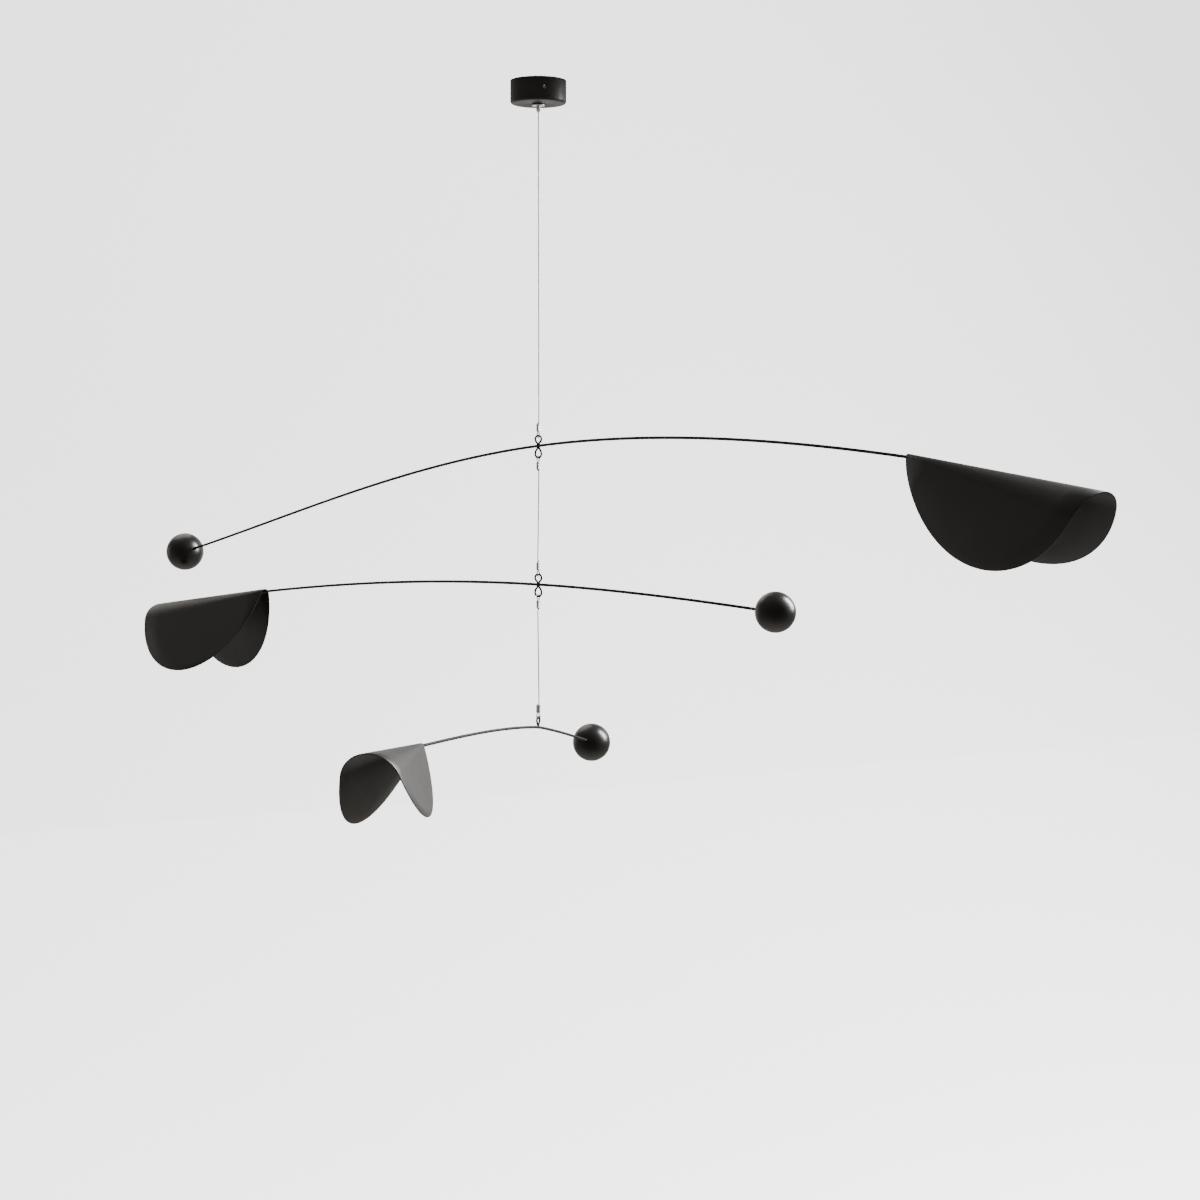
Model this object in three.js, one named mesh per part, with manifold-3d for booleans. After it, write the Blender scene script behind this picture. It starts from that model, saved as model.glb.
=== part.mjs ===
// Hanging mobile: three arched arms on steel wires under a ceiling canopy.
// Each arm carries a ball at one end and a folded sheet wing at the other.
// Millimetres, +Z up, origin at the centre of the canopy's top rim, where the ceiling is.
import * as THREE from 'three';
import { mergeVertices } from 'three/addons/utils/BufferGeometryUtils.js';
import Module from 'manifold-3d';

const wasm = await Module();
wasm.setup();

// Fits and stock sizes shared by several pieces
const GAP = 0.3;
const ROD_DIAMETER = 3;
const EYE_WIRE_DIAMETER = 2.1;
const CABLE_DIAMETER = 1.2;
const SHEET_THICKNESS = 1;

// Ceiling canopy: a cup open to the ceiling
const CANOPY = {
  diameter: 60,
  height: 25,
  wall: 2,
  edgeRadius: 2.6,
  insideRadius: 0.8,
  sides: 40,
  edgeSteps: 4,
};

// Grub screw in the side of the cup
const SCREW = {
  diameter: 3.7,
  length: 5,
  sunk: 0.4,
  drop: 11.6,
  azimuth: -75.2,
  socketAcross: 2,
  socketSides: 6,
  socketDepth: 1.6,
  sides: 16,
};

// Cable gland under the canopy: threaded shank, flange and tapered nose
const GLAND = {
  shankDiameter: 7,
  shankRise: 6,
  flangeDiameter: 14,
  flangeThickness: 1.8,
  flangeChamfer: 0.4,
  noseDiameter: 4.8,
  tipDiameter: 2.8,
  noseLength: 4.4,
  taperLength: 2.6,
  cableTail: 3,
  sides: 20,
};

// Eyes of bent wire, welded above and below the rod
const EYE = {
  width: 12.1,
  rise: 12,
  drop: 13.8,
  neckHalfWidth: 1.2,
  neckHeight: 2.5,
  pinch: 0.35,
  steps: 20,
  sides: 8,
};

// Cable loops and the crimped sleeves that close them
const LOOP = {
  reach: 6.5,
  arcSteps: 8,
  flareSteps: 4,
  sides: 8,
};
const CRIMP = {
  length: 8,
  wall: 0.4,
  clearance: 0.2,
  tail: 1.5,
  cornerSegments: 4,
};

// Rods: on each side of the pivot the height is s * (slope + bow * t + relax * t^2),
// where t is s as a share of that side's reach
const ROD = {
  step: 34,
  sides: 8,
  tuck: 14,
  insert: 10,
};
const BALL = {
  segments: 24,
  rings: 14,
};

// Folded wings: elliptical plates bent over a cone whose tip lies just behind the rod's end.
// Left and right are as seen along the arm, from the pivot towards the wing.
const WING = {
  foldSteps: 10,
  flapSteps: 22,
};

// Each arm hangs by its hang below the cup or below the rod above it
const ARM_1 = {
  number: 1,
  azimuth: -48,
  hang: 365.8,
  lowerEye: true,
  wingSide: {
    slope: 0.0739,
    bow: -0.1289,
    relax: 0.0212,
  },
  ballSide: {
    slope: 0.0739,
    bow: -0.1974,
    relax: -0.091,
  },
  ball: {
    reach: 706.5,
    diameter: 47.8,
  },
  wing: {
    reach: 514.6,
    halfLength: 109.2,
    pitch: -8.99,
    roll: -3.1,
    coneAngle: 7.01,
    tipDistance: 19.2,
    lift: 0.5,
    left: {
      halfWidth: 100,
      foldAngle: 62,
      curl: -0.35,
    },
    right: {
      halfWidth: 95.4,
      foldAngle: 91.9,
      curl: 0.243,
    },
  },
};

const ARM_2 = {
  number: 2,
  azimuth: 135,
  hang: 148.4,
  lowerEye: true,
  wingSide: {
    slope: 0.0146,
    bow: -0.072,
    relax: 0.0106,
  },
  ballSide: {
    slope: 0.0146,
    bow: -0.0461,
    relax: -0.0098,
  },
  ball: {
    reach: 333.4,
    diameter: 40.2,
  },
  wing: {
    reach: 483.1,
    halfLength: 106.5,
    pitch: -6.8,
    roll: 9.1,
    coneAngle: 8.92,
    tipDistance: 34.2,
    lift: 0.4,
    left: {
      halfWidth: 113.7,
      foldAngle: 73.8,
      curl: 0.019,
    },
    right: {
      halfWidth: 99.8,
      foldAngle: 75.4,
      curl: -0.011,
    },
  },
};

const ARM_3 = {
  number: 3,
  azimuth: -106,
  hang: 152.6,
  lowerEye: false,
  wingSide: {
    slope: 0.1032,
    bow: -0.0751,
    relax: 0.0228,
  },
  ballSide: {
    slope: 0.1515,
    bow: -0.0482,
    relax: -0.0148,
  },
  ball: {
    reach: 203.9,
    diameter: 43.3,
  },
  wing: {
    reach: 358.1,
    halfLength: 69.5,
    pitch: 2.39,
    roll: 4.6,
    coneAngle: 10.98,
    tipDistance: 12.3,
    lift: 0.1,
    left: {
      halfWidth: 73.1,
      foldAngle: 76,
      curl: 0.089,
    },
    right: {
      halfWidth: 79.7,
      foldAngle: 71.1,
      curl: -0.263,
    },
  },
};

const UP = new THREE.Vector3(0, 0, 1);
const CABLE_RADIUS = CABLE_DIAMETER / 2;
const STRAND_OFFSET = CABLE_RADIUS + GAP / 2;
const LOOP_RADIUS = EYE_WIRE_DIAMETER / 2 + GAP + CABLE_RADIUS;
const CREST_RISE = ROD_DIAMETER / 2 + GAP + SHEET_THICKNESS / 2;
const radians = THREE.MathUtils.degToRad;

const hung = (arm, from) => ({ ...arm, pivotHeight: from - arm.hang });
const UPPER = hung(ARM_1, -CANOPY.height);
const MIDDLE = hung(ARM_2, UPPER.pivotHeight);
const LOWER = hung(ARM_3, MIDDLE.pivotHeight);

// Geometry helpers
function bodyFrom(positions, indices) {
  const geometry = new THREE.BufferGeometry();
  geometry.setAttribute('position', new THREE.Float32BufferAttribute(positions, 3));
  geometry.setIndex(indices);
  return geometry;
}

function signedVolume(geometry) {
  const position = geometry.getAttribute('position');
  const index = geometry.getIndex();
  const corner = [new THREE.Vector3(), new THREE.Vector3(), new THREE.Vector3()];
  let volume = 0;
  for (let i = 0; i < index.count; i += 3) {
    corner.forEach((point, k) => point.fromBufferAttribute(position, index.getX(i + k)));
    volume += corner[0].dot(corner[1].cross(corner[2])) / 6;
  }
  return volume;
}

// Weld the seams, drop slivers with two equal corners and face everything outwards
function closed(geometry) {
  const bare = geometry.clone();
  bare.deleteAttribute('normal');
  bare.deleteAttribute('uv');
  const merged = mergeVertices(bare, 1e-4);
  const index = merged.getIndex();
  const kept = [];
  for (let i = 0; i < index.count; i += 3) {
    const triangle = [index.getX(i), index.getX(i + 1), index.getX(i + 2)];
    if (new Set(triangle).size === 3) {
      kept.push(...triangle);
    }
  }
  merged.setIndex(kept);
  if (signedVolume(merged) < 0) {
    merged.setIndex(kept.slice().reverse());
  }
  return merged;
}

function solidOf(geometry) {
  const body = closed(geometry);
  return new wasm.Manifold(new wasm.Mesh({
    numProp: 3,
    vertProperties: new Float32Array(body.getAttribute('position').array),
    triVerts: new Uint32Array(body.getIndex().array),
  }));
}

function geometryOf(solid) {
  const mesh = solid.getMesh();
  return bodyFrom(Array.from(mesh.vertProperties), Array.from(mesh.triVerts));
}

function joined(...geometries) {
  return geometryOf(wasm.Manifold.union(geometries.map(solidOf)));
}

function cut(geometry, ...tools) {
  const tool = wasm.Manifold.union(tools.map(solidOf));
  return geometryOf(wasm.Manifold.difference(solidOf(geometry), tool));
}

// Round bar along a path of points, with flat ends
function roundBar(path, diameter, sides) {
  const radius = diameter / 2;
  const positions = [];
  const indices = [];
  const last = path.length - 1;
  const tangentAt = (i) => path[Math.min(i + 1, last)].clone().sub(path[Math.max(i - 1, 0)]).normalize();
  let tangent = tangentAt(0);
  const away = Math.abs(tangent.z) > 0.9 ? new THREE.Vector3(1, 0, 0) : UP;
  const normal = away.clone().cross(tangent).normalize();
  const turn = new THREE.Quaternion();
  path.forEach((point, i) => {
    const next = tangentAt(i);
    normal.applyQuaternion(turn.setFromUnitVectors(tangent, next));
    tangent = next;
    const binormal = tangent.clone().cross(normal);
    for (let k = 0; k < sides; k += 1) {
      const angle = (2 * Math.PI * k) / sides;
      const ring = point.clone();
      ring.addScaledVector(normal, radius * Math.cos(angle));
      ring.addScaledVector(binormal, radius * Math.sin(angle));
      positions.push(ring.x, ring.y, ring.z);
    }
  });
  for (let i = 0; i < last; i += 1) {
    for (let k = 0; k < sides; k += 1) {
      const a = i * sides + k;
      const b = i * sides + ((k + 1) % sides);
      indices.push(a, b, b + sides, a, b + sides, a + sides);
    }
  }
  for (let k = 1; k < sides - 1; k += 1) {
    indices.push(0, k + 1, k);
    indices.push(last * sides, last * sides + k, last * sides + k + 1);
  }
  return closed(bodyFrom(positions, indices));
}

// Body of revolution about Z from a closed half profile of [radius, height] points
function turned(profile, sides) {
  const outline = [...profile, profile[0]].map(([radius, height]) => new THREE.Vector2(radius, height));
  return closed(new THREE.LatheGeometry(outline, sides).rotateX(Math.PI / 2));
}

// Quarter arc of profile points about a centre, from one angle to another in degrees
function profileArc(radius, height, size, from, to, steps) {
  return Array.from({ length: steps + 1 }, (_, i) => {
    const angle = radians(from + ((to - from) * i) / steps);
    return [radius + size * Math.cos(angle), height + size * Math.sin(angle)];
  });
}

function outwardAt(azimuth) {
  return new THREE.Vector3(Math.cos(radians(azimuth)), Math.sin(radians(azimuth)), 0);
}

// Canopy, its grub screw and the cable gland
function screwLine(near, far) {
  const outward = outwardAt(SCREW.azimuth);
  return [near, far].map((reach) => outward.clone().multiplyScalar(reach).setZ(-SCREW.drop));
}

function canopyCup() {
  const outer = CANOPY.diameter / 2;
  const inner = outer - CANOPY.wall;
  const hole = GLAND.shankDiameter / 2 + GAP;
  const floor = CANOPY.wall - CANOPY.height;
  const round = CANOPY.edgeRadius;
  const relief = CANOPY.insideRadius;
  const cup = turned([
    [outer, 0],
    ...profileArc(outer - round, round - CANOPY.height, round, 0, -90, CANOPY.edgeSteps),
    [hole, -CANOPY.height],
    [hole, floor],
    [inner - relief, floor],
    [inner, floor + relief],
    [inner, 0],
  ], CANOPY.sides);
  const boreLine = screwLine(inner - CANOPY.wall, outer + CANOPY.wall);
  return cut(cup, roundBar(boreLine, SCREW.diameter + 2 * GAP, SCREW.sides));
}

function grubScrew() {
  const face = CANOPY.diameter / 2 - SCREW.sunk;
  const socketDiameter = SCREW.socketAcross / Math.cos(Math.PI / SCREW.socketSides);
  const shank = roundBar(screwLine(face - SCREW.length, face), SCREW.diameter, SCREW.sides);
  const socketLine = screwLine(face - SCREW.socketDepth, face + SCREW.sunk);
  return cut(shank, roundBar(socketLine, socketDiameter, SCREW.socketSides));
}

function glandBody() {
  const bore = CABLE_RADIUS + GAP;
  const shank = GLAND.shankDiameter / 2;
  const flange = GLAND.flangeDiameter / 2;
  const bevel = GLAND.flangeChamfer;
  const top = -CANOPY.height - GAP;
  const under = top - GLAND.flangeThickness;
  const shoulder = under - GLAND.noseLength;
  return turned([
    [bore, GLAND.shankRise - CANOPY.height],
    [bore, shoulder - GLAND.taperLength],
    [GLAND.tipDiameter / 2, shoulder - GLAND.taperLength],
    [GLAND.noseDiameter / 2, shoulder],
    [GLAND.noseDiameter / 2, under],
    [flange - bevel, under],
    [flange, under + bevel],
    [flange, top - bevel],
    [flange - bevel, top],
    [shank, top],
    [shank, GLAND.shankRise - CANOPY.height],
  ], GLAND.sides);
}

// Arms
function armPoint(arm, s) {
  const [side, reach] = s < 0 ? [arm.ballSide, arm.ball.reach] : [arm.wingSide, arm.wing.reach];
  const share = s / reach;
  const height = arm.pivotHeight + s * (side.slope + side.bow * share + side.relax * share ** 2);
  return outwardAt(arm.azimuth).multiplyScalar(s).setZ(height);
}

function crestDirection(arm) {
  const pitch = radians(arm.wing.pitch);
  return outwardAt(arm.azimuth).multiplyScalar(Math.cos(pitch)).setZ(Math.sin(pitch));
}

function ballLine(arm) {
  const centre = armPoint(arm, -arm.ball.reach);
  const towardPivot = armPoint(arm, ROD.insert - arm.ball.reach).sub(centre).normalize();
  return { centre, towardPivot };
}

function rodPath(arm) {
  const { centre, towardPivot } = ballLine(arm);
  const end = centre.addScaledVector(towardPivot, arm.ball.diameter / 2 - ROD.insert);
  const first = -arm.ball.reach + arm.ball.diameter / 2;
  const count = Math.round((arm.wing.reach - first) / ROD.step);
  const along = Array.from({ length: count + 1 }, (_, i) => (
    armPoint(arm, first + ((arm.wing.reach - first) * i) / count)
  ));
  const tip = along[count].clone().addScaledVector(crestDirection(arm), ROD.tuck);
  return [end, ...along, tip];
}

// Loop of wire in the arm's plane, on a neck of two straight legs that stand on the rod's centre.
// Its half width follows sin(t) * sin(t / 2) ^ pinch, as a share of that curve's widest place.
function wireEye(arm, height) {
  const outward = outwardAt(arm.azimuth);
  const halfWidth = (EYE.width - EYE_WIRE_DIAMETER) / 2;
  const reach = Math.abs(height) - EYE_WIRE_DIAMETER / 2;
  const pinched = (angle) => Math.sin(angle) * Math.abs(Math.sin(angle / 2)) ** EYE.pinch;
  const widest = pinched(2 * Math.acos(Math.sqrt(1 / (2 + EYE.pinch))));
  const at = (across, rise) =>
    outward.clone().multiplyScalar(across).setZ(arm.pivotHeight + Math.sign(height) * rise);
  const loop = [];
  for (let i = 0; i <= EYE.steps; i += 1) {
    const angle = (2 * Math.PI * i) / EYE.steps;
    const across = (halfWidth * pinched(angle)) / widest;
    const rise = EYE.neckHeight + ((reach - EYE.neckHeight) * (1 - Math.cos(angle))) / 2;
    if (Math.abs(across) > EYE.neckHalfWidth || Math.cos(angle) < 0) loop.push(at(across, rise));
  }
  const leg = (side) => [at(side * EYE.neckHalfWidth, 0), at(side * EYE.neckHalfWidth, EYE.neckHeight)];
  return roundBar([...leg(1), ...loop, ...leg(-1).reverse()], EYE_WIRE_DIAMETER, EYE.sides);
}

function armRod(arm) {
  const rod = roundBar(rodPath(arm), ROD_DIAMETER, ROD.sides);
  const upper = wireEye(arm, EYE.rise);
  return arm.lowerEye ? joined(rod, upper, wireEye(arm, -EYE.drop)) : joined(rod, upper);
}

function armBall(arm) {
  const { centre, towardPivot } = ballLine(arm);
  const radius = arm.ball.diameter / 2;
  const sphere = new THREE.SphereGeometry(radius, BALL.segments, BALL.rings).rotateX(Math.PI / 2);
  sphere.translate(centre.x, centre.y, centre.z);
  const floor = centre.clone().addScaledVector(towardPivot, radius - ROD.insert - GAP);
  const mouth = centre.clone().addScaledVector(towardPivot, radius + ROD.insert);
  return cut(sphere, roundBar([floor, mouth], ROD_DIAMETER + 2 * GAP, ROD.sides));
}

// Directions of one flap's rulings from the cone's tip, with the sheet's normals along them.
// The rulings first wrap round the cone, then carry on into the flap, which curls in or out.
function rulings(wing, flap) {
  const cone = radians(wing.coneAngle);
  const wrapped = Math.sin(cone) * radians(flap.foldAngle);
  const flapArc = Math.atan2(1, flap.curl);
  const reach = wing.halfLength + wing.tipDistance;
  const outermost = Math.atan2(flap.halfWidth, Math.sqrt(reach ** 2 - wing.halfLength ** 2));
  const swing = (start, arc, angle) => {
    const axis = start.ruling.clone().multiplyScalar(Math.cos(arc));
    axis.addScaledVector(start.normal, -Math.sin(arc));
    const moved = (vector) => vector.clone().applyAxisAngle(axis, -angle / Math.sin(arc));
    return { angle: start.angle + angle, ruling: moved(start.ruling), normal: moved(start.normal) };
  };
  const crest = { angle: 0, ruling: new THREE.Vector3(1, 0, 0), normal: UP.clone() };
  const fold = Array.from({ length: WING.foldSteps + 1 }, (_, i) => (
    swing(crest, cone, (wrapped * i) / WING.foldSteps)
  ));
  const open = Array.from({ length: WING.flapSteps }, (_, i) => {
    const share = Math.sin((Math.PI / 2) * ((i + 1) / WING.flapSteps));
    return swing(fold[WING.foldSteps], flapArc, (outermost - wrapped) * share);
  });
  return [...fold, ...open].map((ray) => ({ ...ray, span: plateSpan(wing, flap, ray.angle) }));
}

// Where a ruling enters and leaves the elliptical plate, as distances from the cone's tip
function plateSpan(wing, flap, angle) {
  const reach = wing.halfLength + wing.tipDistance;
  const along = Math.cos(angle) / wing.halfLength;
  const across = Math.sin(angle) / flap.halfWidth;
  const squares = along ** 2 + across ** 2;
  const middle = (along * reach) / wing.halfLength / squares;
  const rest = ((reach / wing.halfLength) ** 2 - 1) / squares;
  const half = Math.sqrt(Math.max(middle ** 2 - rest, 0));
  return [middle - half, middle + half];
}

function wingSheet(wing) {
  const mirrored = (vector) => new THREE.Vector3(vector.x, -vector.y, vector.z);
  const right = rulings(wing, wing.right).slice(1).reverse().map(({ ruling, normal, span }) => (
    { ruling: mirrored(ruling), normal: mirrored(normal), span }
  ));
  const rays = [...right, ...rulings(wing, wing.left)];
  const sections = rays.map(({ ruling, normal, span: [near, far] }) => {
    const at = (distance, offset) => {
      const point = ruling.clone().multiplyScalar(distance).addScaledVector(normal, offset);
      return [point.x - wing.tipDistance, point.y, point.z];
    };
    const half = SHEET_THICKNESS / 2;
    return [at(near, half), at(far, half), at(far, -half), at(near, -half)];
  });
  const corners = sections[0].length;
  const indices = [];
  for (let ray = 0; ray < sections.length - 1; ray += 1) {
    for (let corner = 0; corner < corners; corner += 1) {
      const a = ray * corners + corner;
      const b = ray * corners + ((corner + 1) % corners);
      indices.push(a, b, b + corners, a, b + corners, a + corners);
    }
  }
  return bodyFrom(sections.flat(2), indices);
}

function armWing(arm) {
  const forward = crestDirection(arm);
  const sideways = UP.clone().cross(forward).normalize();
  const upward = forward.clone().cross(sideways);
  const place = new THREE.Matrix4().makeBasis(forward, sideways, upward);
  place.multiply(new THREE.Matrix4().makeRotationX(radians(arm.wing.roll)));
  const start = armPoint(arm, arm.wing.reach);
  place.setPosition(start.addScaledVector(UP, CREST_RISE + arm.wing.lift));
  return closed(wingSheet(arm.wing).applyMatrix4(place));
}

// Cables: at each held end a loop lies across the eye, square to the arm's plane
function eyeWireHeight(arm, upper) {
  const reach = (upper ? EYE.rise : EYE.drop) - EYE_WIRE_DIAMETER / 2;
  return arm.pivotHeight + (upper ? reach : -reach);
}

function loopEnd(arm, upper) {
  const eye = eyeWireHeight(arm, upper);
  const toward = upper ? 1 : -1;
  const bend = eye - toward * LOOP_RADIUS;
  const mouth = bend + toward * LOOP.reach;
  const across = UP.clone().cross(outwardAt(arm.azimuth));
  return { eye, toward, mouth, far: mouth + toward * CRIMP.length, across };
}

// Points from the crimp, round the eye's wire and back through the crimp to the cable's cut end
function loopPath(arm, upper) {
  const { eye, toward, mouth, far, across } = loopEnd(arm, upper);
  const at = (offset, height) => across.clone().multiplyScalar(offset).setZ(height);
  const flare = Array.from({ length: LOOP.flareSteps + 1 }, (_, i) => {
    const share = i / LOOP.flareSteps;
    const eased = share * share * (3 - 2 * share);
    return [STRAND_OFFSET + (LOOP_RADIUS - STRAND_OFFSET) * eased, mouth + (eye - mouth) * share];
  });
  const arc = Array.from({ length: LOOP.arcSteps - 1 }, (_, i) => {
    const angle = (Math.PI * (i + 1)) / LOOP.arcSteps;
    return at(LOOP_RADIUS * Math.cos(angle), eye - toward * LOOP_RADIUS * Math.sin(angle));
  });
  return [
    at(STRAND_OFFSET, far),
    ...flare.map(([offset, height]) => at(offset, height)),
    ...arc,
    ...flare.slice().reverse().map(([offset, height]) => at(-offset, height)),
    at(-STRAND_OFFSET, far + toward * CRIMP.tail),
  ];
}

function crimpSleeve(arm, upper) {
  const { mouth, far } = loopEnd(arm, upper);
  const inner = CABLE_RADIUS + CRIMP.clearance;
  const slot = (outline, radius) => {
    outline.absarc(STRAND_OFFSET, 0, radius, -Math.PI / 2, Math.PI / 2, false);
    outline.absarc(-STRAND_OFFSET, 0, radius, Math.PI / 2, (3 * Math.PI) / 2, false);
    outline.closePath();
    return outline;
  };
  const section = slot(new THREE.Shape(), inner + CRIMP.wall);
  section.holes.push(slot(new THREE.Path(), inner));
  const sleeve = new THREE.ExtrudeGeometry(section, {
    depth: CRIMP.length,
    steps: 1,
    bevelEnabled: false,
    curveSegments: CRIMP.cornerSegments,
  });
  sleeve.rotateZ(radians(arm.azimuth) + Math.PI / 2).translate(0, 0, Math.min(mouth, far));
  return closed(sleeve);
}

function topCable(arm) {
  const start = new THREE.Vector3(0, 0, GLAND.shankRise + GLAND.cableTail - CANOPY.height);
  return roundBar([start, ...loopPath(arm, true)], CABLE_DIAMETER, LOOP.sides);
}

function linkCable(above, below) {
  const top = loopPath(above, false).reverse();
  return roundBar([...top, ...loopPath(below, true)], CABLE_DIAMETER, LOOP.sides);
}

// Assembly
const FINISHES = {
  lacquer: { color: 0x141414, roughness: 0.45, metalness: 0 },
  sheet: { color: 0x1c1b1a, roughness: 0.6, metalness: 0 },
  ball: {
    color: 0x0c0c0c,
    roughness: 0.3,
    metalness: 0,
  },
  steel: { color: 0xb9bcc0, roughness: 0.35, metalness: 1 },
};

const mobile = new THREE.Group();
mobile.name = 'hanging_mobile';

function add(name, geometry, finish) {
  const mesh = new THREE.Mesh(geometry, new THREE.MeshStandardMaterial(FINISHES[finish]));
  mesh.name = name;
  mobile.add(mesh);
}

add('canopy', canopyCup(), 'lacquer');
add('canopy_screw', grubScrew(), 'steel');
add('cable_gland', glandBody(), 'steel');
add('wire_1', topCable(UPPER), 'steel');
add('wire_2', linkCable(UPPER, MIDDLE), 'steel');
add('wire_3', linkCable(MIDDLE, LOWER), 'steel');
[UPPER, MIDDLE, LOWER].forEach((arm) => {
  add(`crimp_${arm.number}_lower`, crimpSleeve(arm, true), 'steel');
  if (arm.lowerEye) {
    add(`crimp_${arm.number + 1}_upper`, crimpSleeve(arm, false), 'steel');
  }
  add(`arm_${arm.number}`, armRod(arm), 'lacquer');
  add(`ball_${arm.number}`, armBall(arm), 'ball');
  add(`wing_${arm.number}`, armWing(arm), 'sheet');
});

export default mobile;
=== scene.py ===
"""Hanging mobile with three arched arms on steel cables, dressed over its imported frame.

Everything is in metres in the frame's own axes: +Z up, the origin at the middle of the ceiling cup's rim.
Each arm is modelled lying along +X, with its cable's line on Z, and is then turned to its azimuth.
"""

import logging
import math
from dataclasses import dataclass, field
from enum import Enum
from typing import Callable, Sequence

import bmesh
import bpy
from mathutils import Matrix, Quaternion, Vector


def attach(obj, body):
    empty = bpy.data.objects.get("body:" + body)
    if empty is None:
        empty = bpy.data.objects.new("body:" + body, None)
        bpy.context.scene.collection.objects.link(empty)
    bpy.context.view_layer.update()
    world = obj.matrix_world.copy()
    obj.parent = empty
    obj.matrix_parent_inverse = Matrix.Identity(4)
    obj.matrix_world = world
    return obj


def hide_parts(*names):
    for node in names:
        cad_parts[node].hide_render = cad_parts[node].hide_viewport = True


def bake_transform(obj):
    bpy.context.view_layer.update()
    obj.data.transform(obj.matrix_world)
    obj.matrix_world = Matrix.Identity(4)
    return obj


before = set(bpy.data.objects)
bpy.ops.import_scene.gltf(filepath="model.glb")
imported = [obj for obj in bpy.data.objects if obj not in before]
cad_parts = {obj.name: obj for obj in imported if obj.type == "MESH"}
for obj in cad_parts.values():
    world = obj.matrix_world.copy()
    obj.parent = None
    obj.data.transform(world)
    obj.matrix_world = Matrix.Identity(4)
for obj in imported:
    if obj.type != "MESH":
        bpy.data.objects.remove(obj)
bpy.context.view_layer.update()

LOG = logging.getLogger("hanging_mobile")
MM = 0.001
UP = Vector((0.0, 0.0, 1.0))
FORWARD = Vector((1.0, 0.0, 0.0))
WELD = 1e-6
ROD_RADIUS = 1.5 * MM
EYE_WIRE_RADIUS = 1.05 * MM
CABLE_RADIUS = 0.6 * MM
GAP = 0.3 * MM
SHEET = 1.0 * MM
STRAND_OFFSET = CABLE_RADIUS + GAP / 2
LOOP_RADIUS = EYE_WIRE_RADIUS + GAP + CABLE_RADIUS
CREST_RISE = ROD_RADIUS + GAP + SHEET / 2
CUP_HEIGHT = 25.0 * MM
SHANK_RISE = 6.0 * MM


class Body(Enum):
    """The bodies of the frame that pieces ride on."""

    CEILING = "ceiling_fitting"
    UPPER = "upper_tier"
    MIDDLE = "middle_tier"
    LOWER = "lower_tier"


class Slot(Enum):
    """Names of the material slots."""

    LACQUER = "black_lacquer"
    SHEET = "satin_black_sheet"
    GLOSS = "gloss_black"
    STEEL = "steel"


# Modelling by hand
def set_down() -> None:
    """Leave edit mode and deselect everything."""
    if bpy.context.object is not None and bpy.context.object.mode != "OBJECT":
        bpy.ops.object.mode_set(mode="OBJECT")
    bpy.ops.object.select_all(action="DESELECT")


def take(piece: bpy.types.Object) -> None:
    """Make one piece the only selected and active one.

    Args:
        piece: The piece to work on.
    """
    set_down()
    bpy.context.view_layer.objects.active = piece
    piece.select_set(True)


def edit(piece: bpy.types.Object) -> None:
    """Open a piece in edit mode with all of it selected.

    Args:
        piece: The piece to open.
    """
    take(piece)
    bpy.ops.object.mode_set(mode="EDIT")
    bpy.ops.mesh.select_mode(type="VERT")
    bpy.ops.mesh.select_all(action="SELECT")


def pick_faces(piece: bpy.types.Object, wanted: Callable[[bmesh.types.BMFace], bool]) -> None:
    """Select just the faces that pass a test.

    Args:
        piece: A piece in edit mode.
        wanted: Says whether a face is to be selected.
    """
    bpy.ops.mesh.select_mode(type="FACE")
    bpy.ops.mesh.select_all(action="DESELECT")
    mesh = bmesh.from_edit_mesh(piece.data)
    for face in mesh.faces:
        if wanted(face):
            face.select_set(True)
    bmesh.update_edit_mesh(piece.data)


def pick_edges(piece: bpy.types.Object, wanted: Callable[[Vector, Vector], bool]) -> None:
    """Select just the edges whose two ends pass a test.

    Args:
        piece: A piece in edit mode.
        wanted: Says whether the edge between two points is to be selected.
    """
    bpy.ops.mesh.select_mode(type="EDGE")
    bpy.ops.mesh.select_all(action="DESELECT")
    mesh = bmesh.from_edit_mesh(piece.data)
    for edge in mesh.edges:
        if wanted(edge.verts[0].co, edge.verts[1].co):
            edge.select_set(True)
    bmesh.update_edit_mesh(piece.data)


def pick_points(piece: bpy.types.Object, wanted: Callable[[Vector], bool]) -> None:
    """Select just the points that pass a test.

    Args:
        piece: A piece in edit mode.
        wanted: Says whether a point is to be selected.
    """
    bpy.ops.mesh.select_mode(type="VERT")
    bpy.ops.mesh.select_all(action="DESELECT")
    mesh = bmesh.from_edit_mesh(piece.data)
    for vertex in mesh.verts:
        if wanted(vertex.co):
            vertex.select_set(True)
    mesh.select_flush(True)
    bmesh.update_edit_mesh(piece.data)


def draw_out(offset: Vector) -> None:
    """Extrude what is selected and move it.

    Args:
        offset: How far the new faces go.
    """
    bpy.ops.mesh.extrude_region_move(TRANSFORM_OT_translate={"value": tuple(offset)})


def resize(factors: Sequence[float], centre: Vector) -> None:
    """Scale what is selected about a point.

    Args:
        factors: Factors along X, Y and Z.
        centre: The point that stays.
    """
    bpy.ops.transform.resize(value=tuple(factors), center_override=tuple(centre))


def bevel(width: float, segments: int) -> None:
    """Round the selected edges off.

    Args:
        width: Offset of the bevel from the edge.
        segments: How many faces it takes.
    """
    bpy.ops.mesh.bevel(offset_type="OFFSET", offset=width, segments=segments, affect="EDGES")


def modify(piece: bpy.types.Object, kind: str, **settings: object) -> None:
    """Add a modifier, set it and apply it.

    Args:
        piece: The piece to change.
        kind: The modifier's type.
        **settings: Its properties.
    """
    take(piece)
    bpy.ops.object.modifier_add(type=kind)
    modifier = piece.modifiers[-1]
    for name, value in settings.items():
        setattr(modifier, name, value)
    bpy.ops.object.modifier_apply(modifier=modifier.name)


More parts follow.
